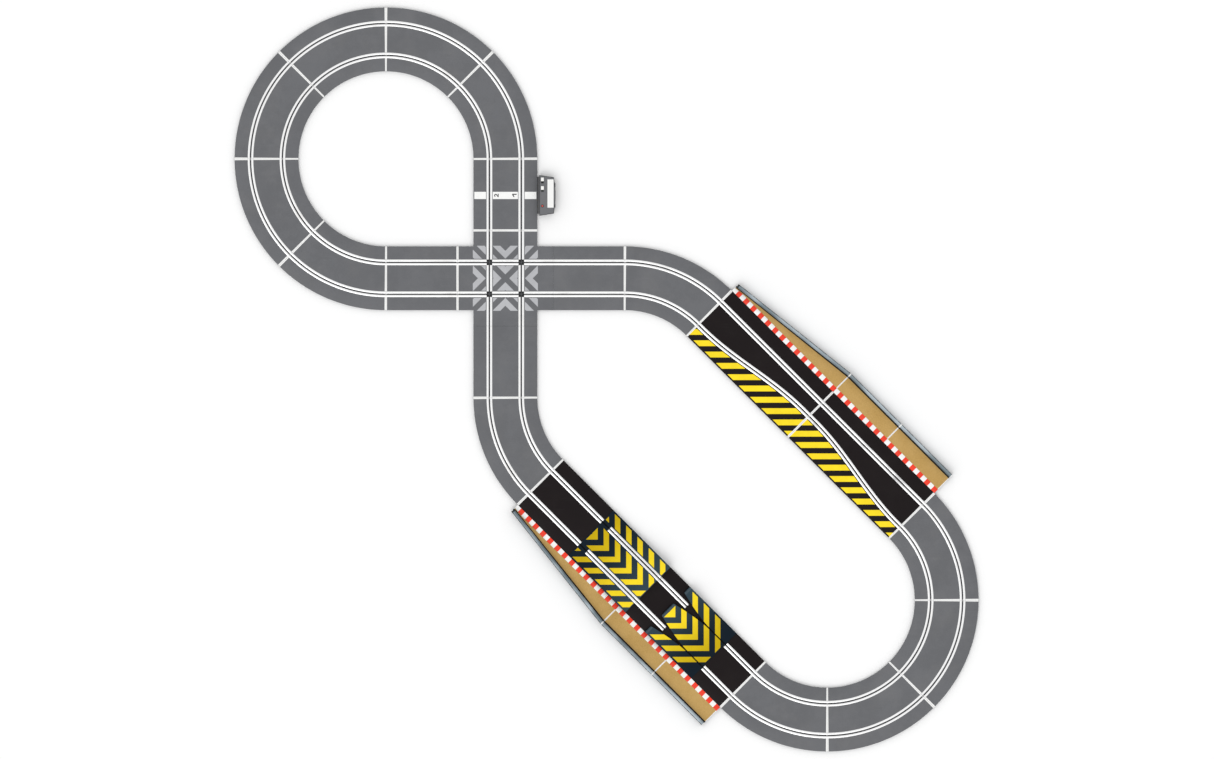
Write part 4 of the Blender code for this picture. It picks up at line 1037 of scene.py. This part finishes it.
def ramp_bar(bm, outline, stops, top, shift=None, groove_from=None, mark=0):
    """Draws out a bar of a ramp and lifts its upper side to the ramp's surface, which the outline has at
    RAMP_FOOT. What the outline has at BOTTOM stays on the bed.
    """
    bar = draw_out(bmesh.new(), outline, stops, mark=mark)
    for vert in bar.verts:
        x, height = vert.co.x, vert.co.z
        if height < 0:
            vert.co.z = RAMP_BASE
        else:
            sunk = RAMP_FOOT - height
            if groove_from and x < groove_from:
                sunk = min(sunk, 0.0)
            vert.co.z = max(top(x) - sunk, RAMP_BASE + 0.05 * MM)
        if shift:
            vert.co.y = shift(x, vert.co.y)
    joined(bm, turned_out(bar))


BOTTOM = -MM


def strip_outline(near, far, groove_near, groove_far):
    """A ramp strip between two slots or edges, with a rail step beside each slot."""
    outline, step = [(near, BOTTOM)], RAMP_FOOT - RAIL_STEP_DEPTH
    if groove_near:
        outline += [(near, step), (near + groove_near, step)]
    outline += [(near + groove_near, RAMP_FOOT), (far - groove_far, RAMP_FOOT)]
    if groove_far:
        outline += [(far - groove_far, step), (far, step)]
    return outline + [(far, BOTTOM)]


def add_keel(bm, lane, start):
    """The keel under a ramp that sits in a guide slot and holds the ramp in place."""
    add_block(bm, (start, lane - SLOT_HALF + FIT_GAP, BED_HEIGHT - KEEL_DEPTH),
              (start + KEEL_LENGTH, lane + SLOT_HALF - FIT_GAP, RAMP_BASE + MM), 0.3 * MM, 1)


def takeoff_ramp():
    """Three strips that curl up to the crest, with the slots' floors and keels between them."""
    bm = bmesh.new()
    stops = gathered(spaced(TAKEOFF_START, TAKEOFF_END, RAMP_STEP),
                     [TAKEOFF_RAIL_START - 0.1 * MM, TAKEOFF_RAIL_START])
    step = RAIL_STEP - SLOT_HALF
    for near, far, groove_near, groove_far in (
        (-HALF_WIDTH, -LANE - SLOT_HALF, 0, step), (SLOT_HALF - LANE, LANE - SLOT_HALF, step, step),
        (LANE + SLOT_HALF, HALF_WIDTH, step, 0),
    ):
        ramp_bar(bm, strip_outline(near, far, groove_near, groove_far), stops, takeoff_top,
                 groove_from=TAKEOFF_RAIL_START - 0.05 * MM)
    floor_start = next(stop for stop in stops if takeoff_top(stop) - SLOT_DEPTH > RAMP_BASE + 0.3 * MM)
    floor_stops = [stop for stop in stops if stop >= floor_start]
    for lane in (-LANE, LANE):
        near, far = lane - SLOT_HALF - 0.1 * MM, lane + SLOT_HALF + 0.1 * MM
        floor = [(near, BOTTOM), (near, RAMP_FOOT), (far, RAMP_FOOT), (far, BOTTOM)]
        ramp_bar(bm, floor, floor_stops, lambda x: takeoff_top(x) - SLOT_DEPTH, mark=1)
        add_keel(bm, lane, TAKEOFF_END - RAMP_WALL - KEEL_LENGTH)
    return bm


def landing_ramp():
    """Three fingers with funnels between them that narrow to the slots, over floors and keels."""
    bm = bmesh.new()
    lip = [LANDING_START + LANDING_LIP * (1 - cos(pi / 2 * step / 6)) for step in range(7)]
    corner = [LANDING_START + FINGER_CORNER * step / 4 for step in range(5)]
    stops = gathered(lip, corner, spaced(LANDING_START + LANDING_LIP, LANDING_END, RAMP_STEP))
    for side in (-1, 0, 1):
        if side:
            near, far = sorted((side * LANE, side * HALF_WIDTH))
        else:
            near, far = -LANE, LANE

        def shift(x, y):
            if abs(abs(y) - LANE) < MM:
                inward = -1 if side == 0 else 1
                return (1 if y > 0 else -1) * (LANE + inward * funnel_half_width(x))
            return y

        outline = [(near, BOTTOM), (near, RAMP_FOOT), (far, RAMP_FOOT), (far, BOTTOM)]
        ramp_bar(bm, outline, stops, landing_top, shift)
    floor_stops = [stop for stop in gathered([FUNNEL_FLOOR_START], stops) if stop >= FUNNEL_FLOOR_START
                   and landing_top(stop) - SLOT_DEPTH > RAMP_BASE + 0.3 * MM]
    for lane in (-LANE, LANE):
        def widen(x, y):
            return lane + (1 if y > lane else -1) * (funnel_half_width(x) + 0.2 * MM)

        floor = [(lane - MM, BOTTOM), (lane - MM, RAMP_FOOT), (lane + MM, RAMP_FOOT), (lane + MM, BOTTOM)]
        ramp_bar(bm, floor, floor_stops, lambda x: landing_top(x) - SLOT_DEPTH, widen, mark=1)
        add_keel(bm, lane, FUNNEL_FLOOR_START + MM)
    return bm


def paint_ramp(bm, first, last):
    """The print covers the upper faces; walls are plain, and the lips take a lighter navy that is painted
    light.
    """
    bm.normal_update()
    for face in bm.faces:
        middle = face.calc_center_median()
        if face.material_index == 1:
            continue
        if face.normal.z < 0.5:
            face.material_index = 2
        # Upper faces outside the print, the lips, get the lighter navy as painted light.
        elif not first < middle.x < last:
            face.material_index = 3


takeoff = takeoff_ramp()
paint_ramp(takeoff, 0, TAKEOFF_END - MM)
put("takeoff_ramp_moulding", takeoff, JUMP, "takeoff_ramp", "ramp_plastic",
    [TAKEOFF, BLACK_TRACK, RAMP_PLAIN, RAMP_EDGE_PAINTED_LIGHT], "takeoff_ramp")
landing = landing_ramp()
paint_ramp(landing, LANDING_START + LANDING_LIP, LANDING_END)
put("landing_ramp_moulding", landing, JUMP, "landing_ramp", "ramp_plastic",
    [LANDING, BLACK_TRACK, RAMP_PLAIN, RAMP_EDGE_PAINTED_LIGHT], "landing_ramp")

for number, span in enumerate(RAIL_SPANS, 1):
    strip = add_rails(bmesh.new(), spaced(TAKEOFF_RAIL_START + FIT_GAP, TAKEOFF_END, RAMP_STEP), spans=[span])
    for vert in strip.verts:
        vert.co.z += takeoff_top(vert.co.x) - BED_HEIGHT
    put(f"takeoff_rail_{number}", turned_out(strip), JUMP, "takeoff_ramp", "rail_metal", [RAIL_TARNISH_AND_PAINTED_REFLECTION],
        f"ramp_rail_{number}")

# Borders and barriers


def border_edge(x, lead_in):
    """Distance of a border's outer edge from the track's centreline."""
    run = min(x / STRAIGHT, 1) if lead_in else 1
    return HALF_WIDTH + BORDER_TIP_WIDTH + (BORDER_WIDTH - BORDER_TIP_WIDTH) * run


def border(start, length, lead_in):
    """A run-off strip: kerb blocks (materials 1 and 2), gravel (0), a black edge line and a flange for the
    barrier (3), and white dividers at its ends (1).
    """
    first, last = JOINT_GAP / 2, length - JOINT_GAP / 2
    near = HALF_WIDTH + FIT_GAP
    kerb, edge = near + KERB_WIDTH, HALF_WIDTH + BORDER_WIDTH
    outline = [(near, 0), *((across, BED_HEIGHT) for across in (near, kerb, edge - EDGE_LINE, edge)),
               (edge, BARRIER_FLANGE), (edge + BARRIER_WIDTH, BARRIER_FLANGE), (edge + BARRIER_WIDTH, 0),
               (edge - BED_WALL, 0), (near + BED_WALL, 0)]
    blocks = [KERB_BLOCK * number for number in range(round(length / KERB_BLOCK) + 1)]
    rows = bays(first + BED_WALL, last - BED_WALL, round(length / RIB_SPACING))
    stops = gathered([first, last, first + DIVIDER, last - DIVIDER], blocks[1:-1],
                     [end for row in rows for end in row])
    bm = turned_out(draw_out(bmesh.new(), outline, stops))
    hollow_out(bm, rows, ((near + BED_WALL, edge - BED_WALL),), BED_HEIGHT - BED_SKIN)
    bm.normal_update()
    kerbs = []
    for face in bm.faces:
        middle = face.calc_center_median()
        if face.normal.z < 0.5 or middle.y > edge - EDGE_LINE:
            face.material_index = 3
        elif middle.y < kerb:
            kerbs.append(face)
        elif min(middle.x - first, last - middle.x) < DIVIDER:
            face.material_index = 1
    for block in blocks[:-1]:
        one = [face for face in kerbs
               if face.is_valid and block < face.calc_center_median().x < block + KERB_BLOCK]
        bmesh.ops.inset_region(bm, faces=pushed(bm, one, KERB_RISE), thickness=KERB_SLOPE, depth=KERB_CROWN,
                               use_even_offset=True)
    for face in bm.faces:
        middle = face.calc_center_median()
        if middle.z > BED_HEIGHT + 0.05 * MM:
            face.material_index = 2 if int(middle.x / KERB_BLOCK) % 2 else 1
    if lead_in:
        for vert in bm.verts:
            outer = border_edge(start + vert.co.x, True)
            inner_kerb = min(kerb, outer - EDGE_LINE - 0.2 * MM)
            if vert.co.y > edge - TINY:
                vert.co.y += outer - edge
            elif vert.co.y > kerb + TINY:
                vert.co.y = inner_kerb + (vert.co.y - kerb) / (edge - kerb) * (outer - inner_kerb)
            elif vert.co.y > near + 0.5 * MM:
                vert.co.y = near + (vert.co.y - near) / (kerb - near) * (inner_kerb - near)
    for unit in range(round(length / BORDER_UNIT)):
        for end in (-1, 1):
            x = (unit + 0.5) * BORDER_UNIT + end * BORDER_TONGUE_SPACING / 2
            add_block(bm, (x - BORDER_TONGUE_WIDTH / 2, near - BORDER_TONGUE_LENGTH, CLIP_BASE),
                      (x + BORDER_TONGUE_WIDTH / 2, near + MM, CLIP_BASE + CLIP_HEIGHT), 0.5 * MM, 3)
    return bm


def in_mm(outline):
    """An outline in metres, from millimetres."""
    return [(across * MM, height * MM) for across, height in outline]


BARRIER_FOOT = in_mm([(0.3, 4.3), (0.3, 6.6), (1.0, 7.3), (10.6, 7.3), (11.0, 6.9), (11.0, 4.3)])
BARRIER_GUARD = in_mm([(4.6, 7.0), (4.6, 9.4), (2.6, 10.6), (2.2, 12.2), (2.6, 13.8), (4.2, 14.9),
                       (4.2, 15.5), (2.6, 16.6), (2.2, 18.2), (2.6, 19.8), (4.6, 21.0), (4.6, 22.0),
                       (9.6, 22.0), (9.6, 7.0)])


def barrier(length, lead_in):
    """A crash barrier: a foot darkened as painted shade, a corrugated guard rail facing the track, and posts
    behind it.
    """
    first, last = JOINT_GAP / 2, length - JOINT_GAP / 2
    top = BARRIER_HEIGHT
    bm = bmesh.new()
    stops = gathered([first, last, first + DIVIDER, last - DIVIDER],
                     spaced(first, last, BARRIER_POST_SPACING))
    # The foot's near-black is painted shade.
    draw_out(bm, BARRIER_FOOT, stops, mark=1)
    draw_out(bm, BARRIER_GUARD, stops, rounded=(11, 12), edge=0.8 * MM)
    turned_out(bm)
    bm.normal_update()
    for face in bm.faces:
        middle = face.calc_center_median()
        # The guard's top faces get the lighter copy of its plastic, as painted light.
        if face.normal.z > 0.3 and middle.z > top - MM and middle.y > 6.2 * MM:
            face.material_index = 2
        if face.normal.z > 0.3 and min(middle.x - first, last - middle.x) < DIVIDER:
            face.material_index = 3
    count = round(length / BARRIER_POST_SPACING)
    for number in range(count):
        x = first + (number + 0.5) * (last - first) / count
        add_block(bm, (x - POST_HALF, 9.2 * MM, 7 * MM), (x + POST_HALF, 10.9 * MM, top - 1.4 * MM), 0.4 * MM)
        for height in BOLT_HEIGHTS:
            bolt = Matrix.Translation((x, 2.0 * MM, height)) @ Matrix.Rotation(pi / 2, 4, "X")
            bmesh.ops.create_cone(bm, cap_ends=True, segments=8, radius1=0.9 * MM, radius2=0.6 * MM,
                                  depth=0.8 * MM, matrix=bolt)
    if lead_in:
        add_block(bm, (first - 0.1 * MM, 1.4 * MM, 4.4 * MM), (first + END_CAP, 10.9 * MM, top + 0.2 * MM),
                  1.4 * MM, 1)
    for x in (first + PEG_SET_IN, last - PEG_SET_IN):
        bmesh.ops.create_cone(bm, cap_ends=True, segments=16, radius1=PEG_RADIUS, radius2=PEG_RADIUS,
                              depth=4.3 * MM, matrix=Matrix.Translation((x, 0.55 * BARRIER_WIDTH, 3.15 * MM)))
    for vert in bm.verts:
        vert.co.y += border_edge(vert.co.x, lead_in)
    return bm


for label, place, side in (("squeeze", SQUEEZE, 1), ("jump", JUMP, -1)):
    for stretch, start, length in (("lead_in", 0, STRAIGHT), ("middle", STRAIGHT, BORDER_UNIT),
                                   ("end", STRAIGHT + BORDER_UNIT, BORDER_UNIT)):
        node = f"{label}_{stretch}"
        lead_in = stretch == "lead_in"
        here = place @ Matrix.Translation((start, 0, 0))
        strip = border(start, length, lead_in)
        wall = barrier(length, lead_in)
        for bm in (strip, wall):
            if side < 0:
                bmesh.ops.scale(bm, vec=(1, -1, 1), verts=bm.verts)
                bmesh.ops.reverse_faces(bm, faces=bm.faces)
        put(node + "_run_off", strip, here, node + "_border", "run_off",
            [RUN_OFF, KERB_WHITE, KERB_RED, EDGE_BLACK], node + "_border")
        put(node + "_guard", wall, here, node + "_barrier", "barrier_plastic",
            [BARRIER_BLUE, BARRIER_DARK_AND_PAINTED_SHADE, BARRIER_TOP_PAINTED_LIGHT, END_WHITE], node + "_barrier")

# Control box


def eased(node, edge):
    """A copy of one of the control box's solids in the power base's frame, with its loose triangles joined,
    its flat faces merged and its sharp edges eased.
    """
    bm = bmesh.new()
    bm.from_mesh(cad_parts[node].data)
    for face in bm.faces:
        face.material_index = 0
    bmesh.ops.transform(bm, matrix=POWER.inverted(), verts=bm.verts)
    bmesh.ops.remove_doubles(bm, verts=bm.verts, dist=1e-6)
    bmesh.ops.dissolve_limit(bm, angle_limit=radians(1), verts=bm.verts, edges=bm.edges)
    edges = [line for line in bm.edges if line.is_manifold and line.calc_face_angle(0) > EASED_SHARP]
    if edge:
        bmesh.ops.bevel(bm, geom=edges, offset=edge, segments=2, profile=0.5, affect="EDGES", material=-1,
                        clamp_overlap=True)
    return bm


housing = eased("control_housing", 0.4 * MM)
housing.normal_update()
for face in housing.faces:
    if face.calc_center_median().y > -HALF_WIDTH - BOX_SET_OFF:
        face.material_index = 1
put("control_housing_shell", housing, POWER, "track", "box_dark", [BOX_DARK, FLANGE_GREY], "control_housing")

cover = eased("control_cover", 0)
cover.normal_update()
lid = [face for face in cover.faces
       if face.normal.z > 0.9 and face.calc_center_median().z > BOX_HEIGHT - 0.5 * MM]
bmesh.ops.inset_region(cover, faces=lid, thickness=COVER_RIM, depth=0, use_even_offset=True,
                       use_boundary=True)
for face in cover.faces:
    face.material_index = 1
for face in lid:
    face.material_index = 0
put("control_cover_shell", cover, POWER, "track", "box_grey", [BOX_GREY, BOX_DARK], "control_cover")

for node in ("controller_socket_1", "controller_socket_2", "power_inlet"):
    put(node + "_body", eased(node, 0.35 * MM), POWER, "track", "socket_black", [SOCKET_BLACK], node)
for node in ("lane_switch_1", "lane_switch_2"):
    put(node + "_knob", eased(node, 0.5 * MM), POWER, node, "switch_white", [SWITCH_WHITE], node)
put("indicator_lens_dome", eased("indicator_lens", 0.6 * MM), POWER, "track", "lens_red", [LENS_RED],
    "indicator_lens")


def label_card():
    """A blank white label on the cover, beside the sockets."""
    bm = bmesh.new()
    (start, end), (near, far) = LABEL_ENDS, LABEL_SIDES
    add_block(bm, (START_LINE + start, near - HALF_WIDTH, BOX_HEIGHT - 0.1 * MM),
              (START_LINE + end, far - HALF_WIDTH, BOX_HEIGHT + 0.12 * MM), 0)
    return turned_out(bm)


put("cover_label", label_card(), POWER, "track", "white_print", [LABEL_WHITE])

finish_solid("circuit_board", BOARD_GREEN)
for name in ("feed_common", "feed_lane_1", "feed_lane_2"):
    finish_solid(name, FEED_BRASS)
for name in ("case_screw_1", "case_screw_2"):
    finish_solid(name, SCREW_STEEL)

# Studio


def studio():
    """A white room with a soft light from above and a pale floor."""
    world = bpy.data.worlds.new("studio")
    world.use_nodes = True
    world.node_tree.nodes["Background"].inputs["Color"].default_value = (1, 1, 1, 1)
    world.node_tree.nodes["Background"].inputs["Strength"].default_value = 0.95
    bpy.context.scene.world = world
    sun = bpy.data.lights.new("soft_key", "SUN")
    sun.energy = 0.55
    sun.angle = radians(40)
    lamp = bpy.data.objects.new("soft_key", sun)
    lamp.rotation_euler = (radians(28), radians(-18), 0)
    bpy.context.scene.collection.objects.link(lamp)
    bm = bmesh.new()
    bmesh.ops.create_grid(bm, x_segments=1, y_segments=1, size=15)
    mesh = bpy.data.meshes.new("floor")
    bm.to_mesh(mesh)
    bm.free()
    floor = bpy.data.objects.new("floor", mesh)
    bpy.context.scene.collection.objects.link(floor)
    material, tree, shader = new_finish("floor_paper", 0.9, 0, 0.1)
    shader.inputs["Base Color"].default_value = (0.93, 0.93, 0.93, 1)
    mesh.materials.append(material)
    bpy.context.scene.view_settings.view_transform = "Standard"


def camera():
    """Straight down from far above, so that the whole layout is seen in plan."""
    lens, sensor, width = 400, 36, 2.968
    data = bpy.data.cameras.new("plan_camera")
    data.lens = lens
    data.sensor_width = sensor
    data.clip_end = 100
    eye = bpy.data.objects.new("plan_camera", data)
    eye.location = (0.001, 0, BED_HEIGHT + width * lens / sensor)
    bpy.context.scene.collection.objects.link(eye)
    bpy.context.scene.camera = eye


studio()
camera()
